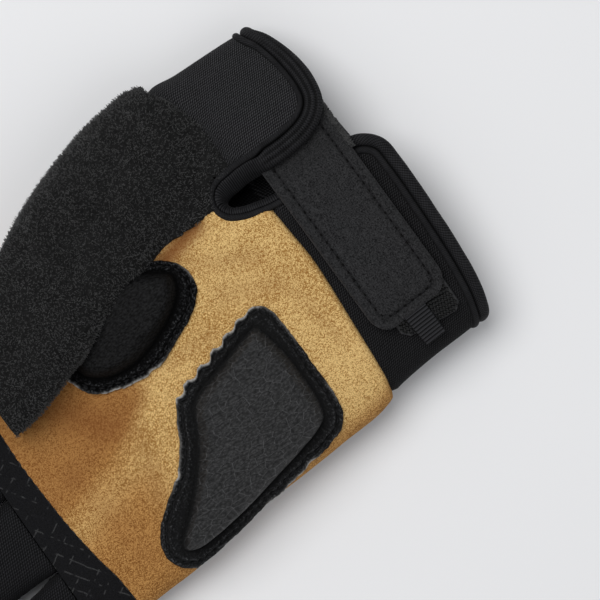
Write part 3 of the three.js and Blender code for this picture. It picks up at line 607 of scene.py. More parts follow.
def makePadLeather(name, pebbled, dark, light, shine):
    # black leather: fine pebbles parted by thin raised lines with a painted highlight, some longer ones along
    # the hand; rough suede on the rim, dark with light fibres, and a pale cut edge
    f = Finish(name)
    here = f.place()
    drawn = f.noise(here, 2.2, 2.0, 0.5)
    bend = f.add("TexNoise", inputs={"Vector": here, "Scale": 1.5, "Detail": 2.0}, out=1)
    stretched = f.place((1000, 470, 1000), (0, 0, 0.1))
    bent = f.add("VectorMath", {"operation": "MULTIPLY_ADD"}, {0: bend, 1: (0.22, 0.22, 0.22), 2: stretched})
    pebble = f.cells(bent, 1.75, "DISTANCE_TO_EDGE", "2D")
    fine = f.noise(here if pebbled else f.place((1000, 500, 1000), (0, 0, 0.1)), 0.45, 3.0, 0.65)
    crease = f.noise(f.place((1000, 300, 1000), (0, 0, 0.1)), 1.9, 4.0, 0.62, 1.1)
    ridge = 1 - f.range((crease - 0.5).size(), 0.0, 0.022)
    small = f.cells(f.place((1000, 700, 1000), (0, 0, 0.1)), 0.75, "F1", "2D")
    web = (1 - f.range(pebble, 0.014, 0.075)) * f.range(drawn, 0.36, 0.56, 0.35, 1.0) * pebbled
    face = web * 0.9 - small * (1.1 * pebbled) + fine * 0.4 + drawn * 0.3 + ridge * (0.5 * pebbled)
    rim = f.value("rim")
    raw = f.noise(here, 0.55, 4.0, 0.8)
    coarse = f.noise(here, 1.7, 3.0, 0.7)
    cut = f.value("cut")
    height = face * (1 - rim) + (raw * 0.9 + coarse * 0.9) * rim
    # painted highlight on the lines and on the pebbles' middles
    lit = web * 0.5 + ridge * (0.12 * pebbled) + f.range(fine, 0.38, 0.66) * (0.6 - 0.46 * pebbled)
    leather = f.blend((lit + (0.75 - small) * (0.28 * pebbled)).held(), dark, light)
    glint = f.range(raw, 0.51, 0.64) * (f.value("fray") * 0.75 + 0.3)
    rough = f.blend((glint + coarse * 0.25 - 0.17).held(), tone(4, 4, 5), tone(82, 83, 85))
    colour = f.blend(rim, leather, rough)
    colour = f.blend((cut * f.range(raw, 0.3, 0.55, 0.35, 1.0)).held(), colour, tone(176, 174, 170))
    # painted shade in the dome's foot groove and the stitch holes
    colour = f.blend(f.value("sunkShade").held(), colour, tone(4, 4, 4))
    roughness = (f.range(face, 0, 1.0, shine + 0.12, shine - 0.05) * (1 - rim) + rim * 0.95).held()
    return f.close(colour, roughness, f.bump(height, 0.34, 0.9), Specular_IOR_Level=0.3 if pebbled else 0.09)


def makeMicrofibre():
    # brushed microfibre: short dense nap with faint hand marks; the stitch line's groove is darkened with
    # painted shade
    f = Finish("strapMicrofibre")
    here = f.place()
    nap = f.noise(here, 0.42, 3.0, 0.85)
    mark = f.noise(f.place((700, 1500, 1000), (0, 0, 0.4)), 2.0, 3.0, 0.6, 0.5)
    mix = (f.range(nap, 0.34, 0.66) + (mark - 0.5) * 0.5).held()
    colour = f.blend(mix, tone(6, 6, 7), tone(59, 59, 60))
    colour = f.blend(f.value("stitchLineShade").held(), colour, tone(10, 10, 10))
    return f.close(colour, 0.9, f.bump(nap * 0.9 + mark * 0.3, 0.25, 0.9), Sheen_Weight=0.06,
                   Sheen_Roughness=0.45, Specular_IOR_Level=0.06)


def makePatchCloth():
    # close black cloth with faint broken strokes in two directions, like a worn diamond grid
    f = Finish("fingerBaseCloth")
    across, along = f.cloth()
    weave = f.noise(f.place(), 0.3, 3.0, 0.7)
    wander = f.noise(f.place(), 5.0, 2.0) * 1.2

    def strokes(turn, pitch, length, seed):
        u = across * float(np.cos(turn)) + along * float(np.sin(turn)) + wander
        v = along * float(np.cos(turn)) - across * float(np.sin(turn)) + wander
        line = v / pitch
        thin = 1 - f.range((line.fraction() - 0.5).size() * pitch, 0.1, 0.26)
        place = f.add("CombineXYZ", inputs={"X": u / length, "Y": line.whole() * 3.1 + seed})
        return thin * f.range(f.noise(place, 1.0, 1.0), 0.52, 0.6)
    both = strokes(-0.55, 3.6, 2.4, 0.0).most(strokes(1.05, 4.1, 2.6, 7.0))
    colour = f.blend(f.range(weave, 0.3, 0.75), tone(7, 7, 8), tone(29, 29, 31))
    colour = f.blend((both * f.range(weave, 0.3, 0.6, 0.1, 0.5)).held(), colour, tone(83, 83, 83))
    return f.close(colour, 0.85, f.bump(weave + both * 0.5, 0.14, 0.8), Sheen_Weight=0.05,
                   Sheen_Roughness=0.4, Specular_IOR_Level=0.1)


def makeRibbon():
    # ribbed ribbon: fine warp lines across the moulded ribs
    f = Finish("tabRibbon")
    across, along = f.cloth()
    warp = (along * (2 * np.pi / 0.42)).sine() * 0.5 + 0.5
    fibre = f.noise(f.place(), 0.15, 2.0)
    # painted light and shade: the rib crests lighter, the troughs and the underside near black
    shade = (f.value("rib") * (0.45 + warp * 0.3 + (fibre - 0.4) * 0.8)).held()
    colour = f.blend(shade, tone(2, 2, 2), tone(59, 59, 62))
    return f.close(colour, 0.7, f.bump(warp * 0.5 + fibre * 0.3, 0.1, 0.8), Specular_IOR_Level=0.12)


def makeHookTape(name, colour, light, roughness):
    # moulded tape: smooth dark plastic with a slight grain and dust in it
    f = Finish(name)
    here = f.place()
    grain = f.noise(here, 0.35, 3.0, 0.6)
    dust = f.range(f.noise(here, 0.7, 2.0, 0.7), 0.6, 0.75)
    tint = f.blend((grain * 0.5 + dust * 0.5).held(), colour, light)
    return f.close(tint, roughness, f.bump(grain, 0.06, 0.6), Specular_IOR_Level=0.3)


def makeFloor():
    f = Finish("paleFloor")
    here = f.place()
    colour = f.blend(f.noise(here, 240.0, 1.0), tone(236, 236, 237), tone(240, 240, 241))
    return f.close(colour, 0.9, f.bump(f.noise(here, 1.5, 2.0), 0.02, 0.2), Specular_IOR_Level=0.1)


finishes = dict(
    suede=makeSuede(),
    cuffKnit=makeKnit("cuffKnit", tone(12, 12, 13), tone(70, 70, 72), course=0.62, wale=0.68),
    stretchKnit=makeKnit("stretchKnit", tone(11, 11, 12), tone(44, 44, 46), 0.7, 0.8, 0.4, 0.14),
    bindingKnit=makeRollTricot(),
    terry=makeTerry("terryGround", tone(16, 16, 16), tone(44, 44, 44)),
    # dark dots standing for the shade in needle holes
    holeShade=makeTerry("holeShade", tone(10, 10, 10), tone(20, 20, 20)),
    terryYarn=makeThread("terryYarn", tone(10, 10, 10), tone(108, 108, 108), 0.8),
    blackThread=makeThread("blackThread", tone(18, 18, 19), tone(56, 56, 58)),
    darkThread=makeThread("darkThread", tone(14, 14, 15), tone(38, 38, 40), 0.75),
    padLeather=makePadLeather("padLeather", 1.0, tone(12, 12, 12), tone(88, 88, 89), 0.5),
    thenarLeather=makePadLeather("thenarLeather", 0.0, tone(1, 1, 1), tone(39, 39, 40), 0.6),
    microfibre=makeMicrofibre(),
    patchCloth=makePatchCloth(),
    ribbon=makeRibbon(),
    hookTape=makeHookTape("hookTape", tone(8, 8, 8), tone(26, 26, 27), 0.4),
    hookRim=makeHookTape("hookRim", tone(26, 26, 27), tone(66, 66, 68), 0.6),
)
print("stage:", len(finishes), "finishes made")


def finishPiece(obj, finish, slot, *nodes):
    # dresses a piece, sets it on the glove's body and hides the solids that it stands for
    obj.data.materials.append(finishes[finish])
    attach(obj, "root")
    if nodes:
        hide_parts(*nodes)
    return obj


def baseLine(x):
    # the straight line across the finger bases
    return 0 * x + hand["palmLength"]


def panel(fromAngle, toAngle, low, high, columns, rows):
    # skin of the hand between two angles and between two lines across it; low and high are functions of x
    angle = angleAt(np.linspace(girthAt(fromAngle), girthAt(toAngle), columns))[None]
    start, end = np.zeros((1, columns)), np.full((1, columns), hand["palmLength"])
    for _ in range(6):
        start = low(handPoint(angle, start, 0)[..., 0])
        end = high(handPoint(angle, end, 0)[..., 0])
    y = start + (end - start) * np.linspace(0, 1, rows)[:, None]
    points = handPoint(np.broadcast_to(angle, y.shape), y, 0)
    middle, _, _, belly = handSection(y)
    outward = fromMiddle(points, middle, belly)
    clothMap = np.broadcast_to(girthAt(angle), y.shape), y
    return points, unit(outward), clothMap, (y - start, end - y)


thumb = dict(depth=26.0, reach=88.0, roundness=2.3, lining=1.9, terryEdge=67.1, proud=0.85, slitAbove=12,
             rows=120, around=180, yarns=12000, yarnWide=0.19, yarnHigh=0.75,
             yarnSpread=(0.45, 1.35), yarnLong=(0.24, 0.5), yarnLean=0.55)
thumbRows = table(  # along in palm lengths, edges in hand widths, under in palm heights, thick in depths
    "along inner outer under thick",
    (0.03, 0.76, 1.0, 0.14, 0.52), (0.08, 0.716, 1.035, 0.11, 0.72), (0.13, 0.683, 1.047, 0.1, 0.84),
    (0.2, 0.68, 1.04, 0.11, 0.92), (0.3, 0.659, 1.025, 0.2, 0.93), (0.38, 0.635, 1.003, 0.33, 0.89),
    (0.45, 0.615, 0.978, 0.52, 0.79), (0.52, 0.592, 0.948, 0.73, 0.67),
    (0.58, 0.568, 0.917, 0.88, 0.58), (0.64, 0.545, 0.885, 0.9, 0.55), (0.76, 0.51, 0.83, 0.88, 0.54),
    (0.94, 0.475, 0.775, 0.85, 0.51),
)


def thumbSection(y):
    # middle, half width, top, height of the widest line and underside of the thumb
    along = np.asarray(y) / hand["palmLength"]
    inner = hand["width"] * readTable(thumbRows, "along", "inner", along)
    outer = hand["width"] * readTable(thumbRows, "along", "outer", along)
    under = hand["height"] * readTable(thumbRows, "along", "under", along)
    top = under + thumb["depth"] * readTable(thumbRows, "along", "thick", along)
    return (inner + outer) / 2, (outer - inner) / 2, top, (under + top) / 2, under


def insideThumb(x, y, z, shrink):
    middle, half, top, belly, under = thumbSection(y)
    rise = np.where(z > belly, top - belly, hand["keel"] * (belly - under)) - shrink
    full = np.abs((x - middle) / (half - shrink)) ** thumb["roundness"]
    full = full + np.abs((z - belly) / rise) ** thumb["roundness"]
    return (full < 1) & (z > under + shrink) & (y < thumb["reach"])


def thumbRing(angle, y):
    # how far the terry lies from the thumb's middle line: the thumb's own rounded section, or the hand's side
    # where that reaches further, found by halving; the two join in a soft hollow
    middle, half, top, belly, under = thumbSection(y)
    c, s = np.cos(angle), np.sin(angle)
    rise = np.where(s > 0, top - belly, hand["keel"] * (belly - under))
    power = thumb["roundness"]
    own = (np.abs(c / half) ** power + np.abs(s / rise) ** power) ** (-1 / power)
    own = np.where(s < 0, np.minimum(own, (belly - under) / np.maximum(-s, 1e-6)), own)
    near, far = np.zeros(np.shape(own)), np.full(np.shape(own), 90.0)
    for _ in range(18):
        trial = (near + far) / 2
        x, z = middle + trial * c, belly + trial * s
        hit = insideHand(x, y, z, 0) & (x > thumb["terryEdge"]) & (z > hand["sideSeam"])
        near, far = np.where(hit, trial, near), np.where(hit, far, trial)
    side = near * (1 - smoothStep(38, 48, y))
    r = (own**22 + side**22) ** (1 / 22)
    return np.stack([middle + r * c, np.broadcast_to(y, r.shape), belly + r * s], -1)


def inSlit(x, y, z):
    # true over the cuff's slit, on the palm side of the hand
    return insideOutline(x, y, slitOutline) & (z > thumb["slitAbove"])


def makeThumb():
    # rings of terry from the cuff seam to the thumb's open end
    angle = np.linspace(0, 2 * np.pi, thumb["around"], endpoint=False)[None]
    start = np.full(angle.shape, 2.0)
    for _ in range(6):
        start = seamAlong(thumbRing(angle, start)[..., 0])
    v = np.linspace(0, 1, thumb["rows"])[:, None]
    y = start + (thumb["reach"] - start) * v
    points = thumbRing(np.broadcast_to(angle, y.shape), y)
    middle, _, _, belly, _ = thumbSection(y)
    outward = fromMiddle(points, middle, belly)
    normal = gridNormals(points, outward, closed=True)
    walk = walkRound(points)
    lumps = softNoise(walk, y, 13.0) * 0.45 + softNoise(walk, y, 5.0, 3.3) * 0.18
    fade = smoothStep(0, 6, y - start) * smoothStep(0, 4, thumb["reach"] - y)
    points = points + normal * (thumb["proud"] + lumps * fade - 0.9 * bell(y - start, 0.6))[..., None]
    points[..., 2] = np.maximum(points[..., 2], 0.05)
    deep = insideHand(*apart(points), 1.4)
    deep |= (points[..., 0] < thumb["terryEdge"] + 0.2) & insideHand(*apart(points), 0.8)
    keep = ~deep & ~inSlit(*apart(points))
    obj = gridObject("thumb_terry", points, outward, keep, closeColumns=True, uv=(walk, y))
    thicken(obj, thumb["lining"])
    finishPiece(obj, "terry", "terry", "thumb")
    # terry loops over it, in two pieces
    spots, up = scatter(points, outward, 6 * thumb["yarns"])
    shown = ~insideHand(*spots.T, 0.5) & ~inSlit(*spots.T)
    shown &= (spots[:, 2] > 1.0) & ((spots[:, 0] > thumb["terryEdge"]) | ~insideHand(*spots.T, -0.4))
    spots, up = spots[shown][:2 * thumb["yarns"]], up[shown][:2 * thumb["yarns"]]
    print("stage: terry loops", len(spots))
    turn = chance.uniform(0, 2 * np.pi, len(spots))[:, None]
    side = unit(np.cross(up, [0.3, 1.0, 0.1]))
    along = side * np.cos(turn) + np.cross(up, side) * np.sin(turn)
    tilt = unit(up + thumb["yarnLean"] * chance.normal(size=up.shape))
    along = unit(along - tilt * np.einsum("ij,ij->i", along, tilt)[:, None])
    high = thumb["yarnHigh"] * chance.uniform(*thumb["yarnSpread"], len(spots))
    wide = chance.uniform(*thumb["yarnLong"], len(spots))
    firstHalf = len(spots) // 2
    for name, part in (("terry_loops_a", slice(0, firstHalf)), ("terry_loops_b", slice(firstHalf, None))):
        loops = threadMesh(name, spots[part] - up[part] * 0.12, along[part], tilt[part], wide[part],
                           thumb["yarnWide"], high[part], rings=3, sides=3)
        finishPiece(loops, "terryYarn", "terry")


palm = dict(wall=1.4, columns=206, rows=144, soft=0.28, underPatch=0.8)
palmCreases = table(  # soft valleys: two ends in millimetres, width and depth
    "start end wide deep",
    ((50, 9), (58, 24), 2.6, 0.35), ((66, 18), (62.5, 33), 2.8, 1.4), ((35, 66), (50, 78), 5.0, 0.5),
    ((41, 8), (47, 22), 3.5, 0.3), ((20, 3.5), (36, 6), 2.0, 0.22), ((14, 66), (30, 60), 3.0, 0.3),
    ((40, 30), (41, 50), 2.4, 0.25), ((2, 78), (30, 82), 3.5, 0.3),
)


def creaseDepth(x, y):
    # sum of valleys, each a bell of the distance to a line between two points
    total = np.zeros(np.shape(x))
    for fold in palmCreases:
        a, b = np.array(fold["start"], float), np.array(fold["end"], float)
        d = b - a
        t = np.clip(((x - a[0]) * d[0] + (y - a[1]) * d[1]) / (d @ d), 0, 1)
        away = np.hypot(x - a[0] - t * d[0], y - a[1] - t * d[1])
        total = total + fold["deep"] * bell(away, fold["wide"])
    return total


def makePalm():
    points, outward, clothMap, (up, down) = panel(-hand["palmTurn"], np.pi + hand["palmTurn"], seamAlong,
                                                  lambda x: patchAlong(x) + palm["underPatch"],
                                                  palm["columns"], palm["rows"])
    x, y = points[..., 0], points[..., 1]
    normal = gridNormals(points, outward)
    soft = softNoise(x, y, 17.0, 1.3) * palm["soft"] + softNoise(x, y, 7.0, 5.1) * palm["soft"] * 0.4
    folds = creaseDepth(x, y)
    fade = smoothStep(0, 5, up) * smoothStep(0, 4, down)
    rolled = 0.35 * smoothStep(0, 1.2, up) - 0.9 * bell(up, 0.55) + 0.25 * bell(up - 2.2, 1.4)
    slanting = x * 0.949 + (y - 56.7) * 0.315
    ridge = 0.5 * bell(slanting - 32.3 * 0.949 + 3, 3.5) * smoothStep(50, 58, y)
    points = points + normal * ((soft - folds + ridge) * fade + rolled)[..., None]
    z = points[..., 2]
    hidden = insideThumb(x, y, z, 1.3) | ((x > thumb["terryEdge"] + 1.2) & (y < 44))
    hidden |= inSlit(x, y, z)
    # darker towards the fingers, and painted shade round the sides where the hand turns away from the light
    wobble = softNoise(x, y, 14.0, 7.0) * 5
    middle, half, _, _ = handSection(y)
    atSides = smoothStep(0.88, 1.0, np.abs(x - middle) / half)
    darkerAndShaded = smoothStep(53, 71, y + wobble + 0.15 * np.abs(x - 30) - 3) + 0.9 * atSides
    # painted shade on the thumb's side of a slanting line, between the fold's ridge and the thenar pad, and a
    # painted highlight on the ridge just before the line
    past = slanting - 33.3 * 0.949 + 0.12 * wobble
    shaded = 0.85 * smoothStep(-0.5, 5, past) * smoothStep(50, 57, y)
    darkerAndShaded = darkerAndShaded + shaded - 0.45 * bell(past + 5, 5) * smoothStep(52, 60, y)
    # the crease field paints shade in the creases and beside the fold
    obj = gridObject("palm_suede", points, outward, ~hidden, uv=clothMap,
                     fields=dict(crease=folds * fade + 0.6 * shaded, darkerAndShaded=np.clip(darkerAndShaded, 0, 1)))
    thicken(obj, palm["wall"])
    finishPiece(obj, "suede", "suede", "palm")


# a stitch is its length, width and arch
back = dict(columns=100, rows=80, seamPitch=2.6, stitch=(1.7, 0.36, 0.16))


def makeBack():
    points, outward, clothMap, (up, _) = panel(np.pi + hand["backTurn"], 2 * np.pi - hand["backTurn"],
                                               seamAlong, baseLine, back["columns"], back["rows"])
    normal = gridNormals(points, outward)
    seamTuck = -0.4 * bell(up, 0.6)
    soft = softNoise(points[..., 0], points[..., 1], 12.0, 2.2) * 0.15 * smoothStep(2, 8, points[..., 2])
    points = points + normal * (soft + seamTuck)[..., None]
    obj = gridObject("back_knit", points, outward, uv=clothMap)
    thicken(obj, palm["wall"])
    finishPiece(obj, "stretchKnit", "stretch", "back")
    # side seams: one line of threads down each side of the hand
    for name, angle in (("side_seam_little", np.pi + hand["seamTurn"]),
                        ("side_seam_thumb", 2 * np.pi - hand["seamTurn"])):
        y = np.linspace(4, 98, 200)
        path = handPoint(np.full(200, angle), y, 0.15)
        middle, _, _, belly = handSection(y)
        away = unit(fromMiddle(path, middle, belly))
        keep = ~insideThumb(*path.T, -1.0)
        places = placesAlong(path[keep], away[keep], back["seamPitch"])
        sew(name, places, back["stitch"], "blackThread", "stretch")


patch = dict(wall=1.3, columns=190, rows=34, stitchPitch=2.5, stitch=(1.6, 0.3, 0.12))


def makePatch():
    points, outward, clothMap, (up, _) = panel(-hand["palmTurn"], np.pi + hand["palmTurn"], patchAlong,
                                               baseLine, patch["columns"], patch["rows"])
    normal = gridNormals(points, outward)
    soft = softNoise(points[..., 0], points[..., 1], 10.0, 4.0) * 0.15
    raised = 0.55 * smoothStep(0, 0.8, up) - 0.5 * bell(up, 0.35)
    points = points + normal * (soft + raised)[..., None]
    hidden = insideThumb(*apart(points), 1.0)
    obj = gridObject("finger_base_cloth", points, outward, ~hidden, uv=clothMap)
    thicken(obj, patch["wall"])
    finishPiece(obj, "patchCloth", "patch", "finger_base_patch")
    places = placesAlong(points[2, 8:-8], normal[2, 8:-8], patch["stitchPitch"])
    sew("finger_base_stitches", places, patch["stitch"], "blackThread", "patch", 0.02)


stallRows = [  # root edges in shares of the bases' width, length in finger lengths, lean in hand widths
    dict(name="little_stall", start=0.0, end=0.226, length=0.75, lean=-0.045),
    dict(name="ring_stall", start=0.226, end=0.476, length=0.92, lean=-0.015),
    dict(name="middle_stall", start=0.476, end=0.738, length=1.0, lean=0.01),
    dict(name="index_stall", start=0.738, end=1.0, length=0.88, lean=0.04),
]
stallShape = table(  # width and height against the root, and roundness
    "along width height round",
    (0.0, 1.0, 1.0, 5.0), (0.25, 0.985, 0.99, 3.2), (0.6, 0.96, 0.96, 2.6), (1.0, 0.93, 0.92, 2.4),
)
stall = dict(gap=0.3, wall=1.3, hem=2.4, around=88, rows=56, stitchPitch=2.2, stitch=(1.5, 0.32, 0.14))


def stallPoint(row, share, angle, height):
    # rounded section that grows rounder and narrower towards the fingertip, and leans with the finger
    middle, half, top, _ = handSection(hand["palmLength"])
    width, wide = 2 * half, row["end"] - row["start"]
    top = top * readTable(stallShape, "along", "height", share)
    lean = row["lean"] * hand["width"] * share**1.5
    centre = middle - half + width * (row["start"] + row["end"]) / 2 + lean
    half = width * wide / 2 * readTable(stallShape, "along", "width", share) - stall["gap"] / 2
    belly, power = hand["belly"] * top, 2 / readTable(stallShape, "along", "round", share)
    up = signedPower(np.sin(angle), power)
    x = centre + (half + height) * signedPower(np.cos(angle), power)
    z = belly + up * np.where(up > 0, top - belly + height, hand["keel"] * belly + height)
    z = np.maximum(z, np.maximum(-height, 0.02))
    y = hand["palmLength"] + stall["gap"] + share * row["length"] * hand["fingerLength"]
    return np.stack(np.broadcast_arrays(x, y, z), -1)


def makeStall(row):
    angle = (np.arange(stall["around"]) + 0.5) * 2 * np.pi / stall["around"]
    share = np.linspace(0, 1, stall["rows"])[:, None]
    fromEnd = (1 - share) * row["length"] * hand["fingerLength"]
    hemmed = 0.5 * (1 - smoothStep(stall["hem"] - 0.35, stall["hem"], fromEnd))
    hemmed = hemmed - 0.5 * bell(fromEnd, 0.5)
    wrinkle = softNoise(angle[None] * 7, fromEnd, 4.0, row["start"] * 9) * 0.22
    bulge = 0.35 * bell(fromEnd - 9, 5)
    points = stallPoint(row, share, angle[None], hemmed + wrinkle + bulge - 0.1)
    # the root is drawn in to the hand's own outline, where the stall is sewn to it
    centre = points.mean(1, keepdims=True)
    spread = points - centre
    near, far = np.full(len(angle), 0.3), np.ones(len(angle))
    for _ in range(12):
        trial = (near + far) / 2
        spot = centre[0] + spread[0] * trial[:, None]
        hit = insideHand(spot[:, 0], 99.9, spot[:, 2], -0.1)
        near, far = np.where(hit, trial, near), np.where(hit, far, trial)
    drawn = 1 - (1 - np.where(near > 0.99, 1.0, near)) * (1 - smoothStep(0, 0.16, share))
    points = centre + spread * np.stack([drawn, drawn * 0 + 1, drawn], -1)
    outward = points - points.mean(1, keepdims=True)
    walk = walkRound(points)
    obj = gridObject(row["name"] + "_knit", points, outward, closeColumns=True, uv=(walk, points[..., 1]))
    thicken(obj, stall["wall"])
    finishPiece(obj, "stretchKnit", "stretch", row["name"])
    ring = points[int(np.argmin(np.abs(fromEnd[:, 0] - stall["hem"] - 0.1)))]
    places = placesAlong(ring, unit(ring - ring.mean(0)), stall["stitchPitch"], closed=True)
    places = [part[places[0][:, 2] > 0.8] for part in places]
    sew(row["name"] + "_stitches", places, stall["stitch"], "blackThread", "stretch")


edgeRoll = dict(width=4.8, height=3.6, wall=2.8, gap=0.3, lift=3.2, reach=30.0, perSpan=11,
                step=0.45)
edgeRows = [  # middle of the rolled edge: side, across in hand widths, along in cuff lengths
    ("palm", 0.67, 0.26), ("palm", 0.645, 0.235), ("palm", 0.628, 0.165), ("palm", 0.616, 0.07),
    ("palm", 0.606, -0.04), ("palm", 0.6, -0.2), ("palm", 0.6, -0.42), ("palm", 0.6, -0.66),
    ("palm", 0.594, -0.83), ("palm", 0.56, -0.93), ("palm", 0.5, -0.95), ("palm", 0.35, -0.95),
    ("palm", 0.2, -0.935), ("palm", 0.1, -0.905), ("palm", 0.05, -0.87), ("back", 0.05, -0.8),
    ("back", 0.2, -0.79), ("back", 0.4, -0.79), ("back", 0.6, -0.76), ("back", 0.8, -0.7),
    ("back", 0.94, -0.63), ("flap", 1.005, -0.61), ("flap", 0.96, -0.685), ("flap", 0.88, -0.75),
    ("flap", 0.8, -0.765), ("flap", 0.748, -0.735), ("flap", 0.718, -0.66), ("flap", 0.7, -0.55),
    ("flap", 0.692, -0.4), ("flap", 0.692, -0.22), ("flap", 0.702, -0.08), ("flap", 0.71, 0.06),
    ("flap", 0.708, 0.17), ("flap", 0.694, 0.237),
]


def edgePlace(side, across, along):
    y = along * hand["cuffLength"]
    angle = angleAcross(across * hand["width"], y)
    turned = {"palm": angle, "back": 2 * np.pi - angle, "flap": 2 * np.pi + angle}[side]
    return float(girthAt(turned)), y


edgePath = np.array([edgePlace(*row) for row in edgeRows])
edgeLine = np.concatenate([edgePath[-1:] - [girth, 0], edgePath, edgePath[:2] + [girth, 0]])
edgeLine = smoothLine(edgeLine, edgeRoll["perSpan"])[edgeRoll["perSpan"]:-edgeRoll["perSpan"]]
edgeCount = edgeRoll["perSpan"] * len(edgePath)
edgeLine = edgeLine[:edgeCount + 1]
inward = np.gradient(edgeLine, axis=0)
inward = unit(np.stack([-inward[:, 1], inward[:, 0]], -1))


def liftAt(distance, y):
    # the flap stands up over the strap, most at its edge and none past the reach or above the seam
    far = smoothStep(0, edgeRoll["reach"], edgePath[-5, 0] - distance)
    high = smoothStep(-edgeRoll["width"], edgeRoll["width"], y)
    return edgeRoll["lift"] * (1 - far) * (1 - high)


def cuffPoint(distance, y, height):
    return handPoint(angleAt(distance), y, height)


def flapPoint(distance, y, height):
    return cuffPoint(distance, y, height + liftAt(distance, y))


slitOutline = flapPoint(*(edgeLine + inward * 1.7).T, 0.0)[:, :2]
slitOutline = slitOutline[np.r_[-1 - edgeRoll["perSpan"] * 6:-1, 0:edgeRoll["perSpan"] * 6]]


def seamAt(distance, height):
    # where the palm and cuff seam crosses a line along the cuff, by a few repeats
    y = np.zeros(np.shape(distance))
    for _ in range(6):
        y = seamAlong(cuffPoint(distance, y, height)[..., 0])
    return y


def fitted(row, y, edge, wide, hole):
    # a measure of the rolled edge: on the plain edge, on the flap's wide edge and round the keyhole
    slope = smoothStep(-9.0, -3.5, y)
    flap = smoothStep(21, 23.5, row) * (1 - smoothStep(29.3, 30.8, row))
    return (edge * (1 - flap) + wide * flap) * (1 - slope) + hole * slope


cuff = dict(wall=2.5, rows=60, tuck=0.6)


def makeCuff():
    # from the rolled edge to the seam; beside the slit the lines fan out from the seam's end
    row = np.arange(len(edgeLine)) / edgeRoll["perSpan"]
    line = edgeLine + inward * fitted(row, edgeLine[:, 1], 1.75, 2.75, 1.6)[:, None]
    wall = edgeLine + inward * (edgeRoll["width"] / 2 + edgeRoll["gap"])
    seam = seamAlong(cuffPoint(*wall.T, 0)[:, 0])
    under = wall[:, 1] < seam - edgeRoll["width"]
    beside = wall[:, 1] < seam - cuff["tuck"]
    startShift, endShift = [wall[beside][end, 0] - wall[under][end, 0] for end in (0, -1)]
    walked = lengthAlong(wall[under])
    slit, stray = 0.8 * hand["cuffLength"], 0.4 * hand["cuffLength"]

    def strayAt(along, shift):
        rising = np.minimum(along / slit, 1)
        return shift * (1 - rising) + stray * rising * (1 - smoothStep(slit, 3.5 * slit, along))
    line = line[under]
    seamX = wall[under][:, 0] + strayAt(walked, startShift) - strayAt(walked[-1] - walked, -endShift)
    v = np.linspace(0, 1, cuff["rows"])[:, None]
    x = line[:, 0] + (seamX - line[:, 0]) * v
    y = line[:, 1] + (seamAt(seamX, 0) + cuff["tuck"] - line[:, 1]) * v
    toSeam = seamAt(x, 0) - y
    soft = softNoise(x, y, 11.0, 6.0) * 0.16 * smoothStep(0, 3, toSeam)
    dip = -0.75 * (1 - smoothStep(-0.6, 1.6, toSeam))
    middle, half, _, belly = handSection(y)
    atSide = smoothStep(0.8, 0.97, (cuffPoint(x, y, 0)[..., 0] - middle) / half)
    dip = dip * (1 - 0.8 * atSide) + 1.5 * atSide * bell(toSeam, 5.0)
    points = flapPoint(x, y, soft + dip)
    outward = fromMiddle(points, middle, belly)
    # painted shade: the knit beside the strap, lower than the flap, is darkened
    low = 0.5 * (1 - smoothStep(50, 68, points[..., 0]))
    obj = gridObject("cuff_knit", points, outward, uv=(x, y), fields=dict(low=low))
    thicken(obj, cuff["wall"])
    finishPiece(obj, "cuffKnit", "knit", "cuff")


liningRows = table(  # the keyhole's lining: turn round the section, distance across the edge and height
    "turn aside height",
    (0.0, 1.0, -0.7), (0.35, 0.85, -0.1), (0.8, 0.3, 0.1), (1.3, -0.4, -0.4), (1.8, -1.05, -1.4),
    (2.4, -1.55, -2.9), (3.0, -1.85, -4.6), (3.6, -1.7, -6.0), (4.3, -0.6, -5.6), (5.0, 0.4, -3.6),
    (5.7, 0.95, -1.8), (6.2832, 1.0, -0.7),
)


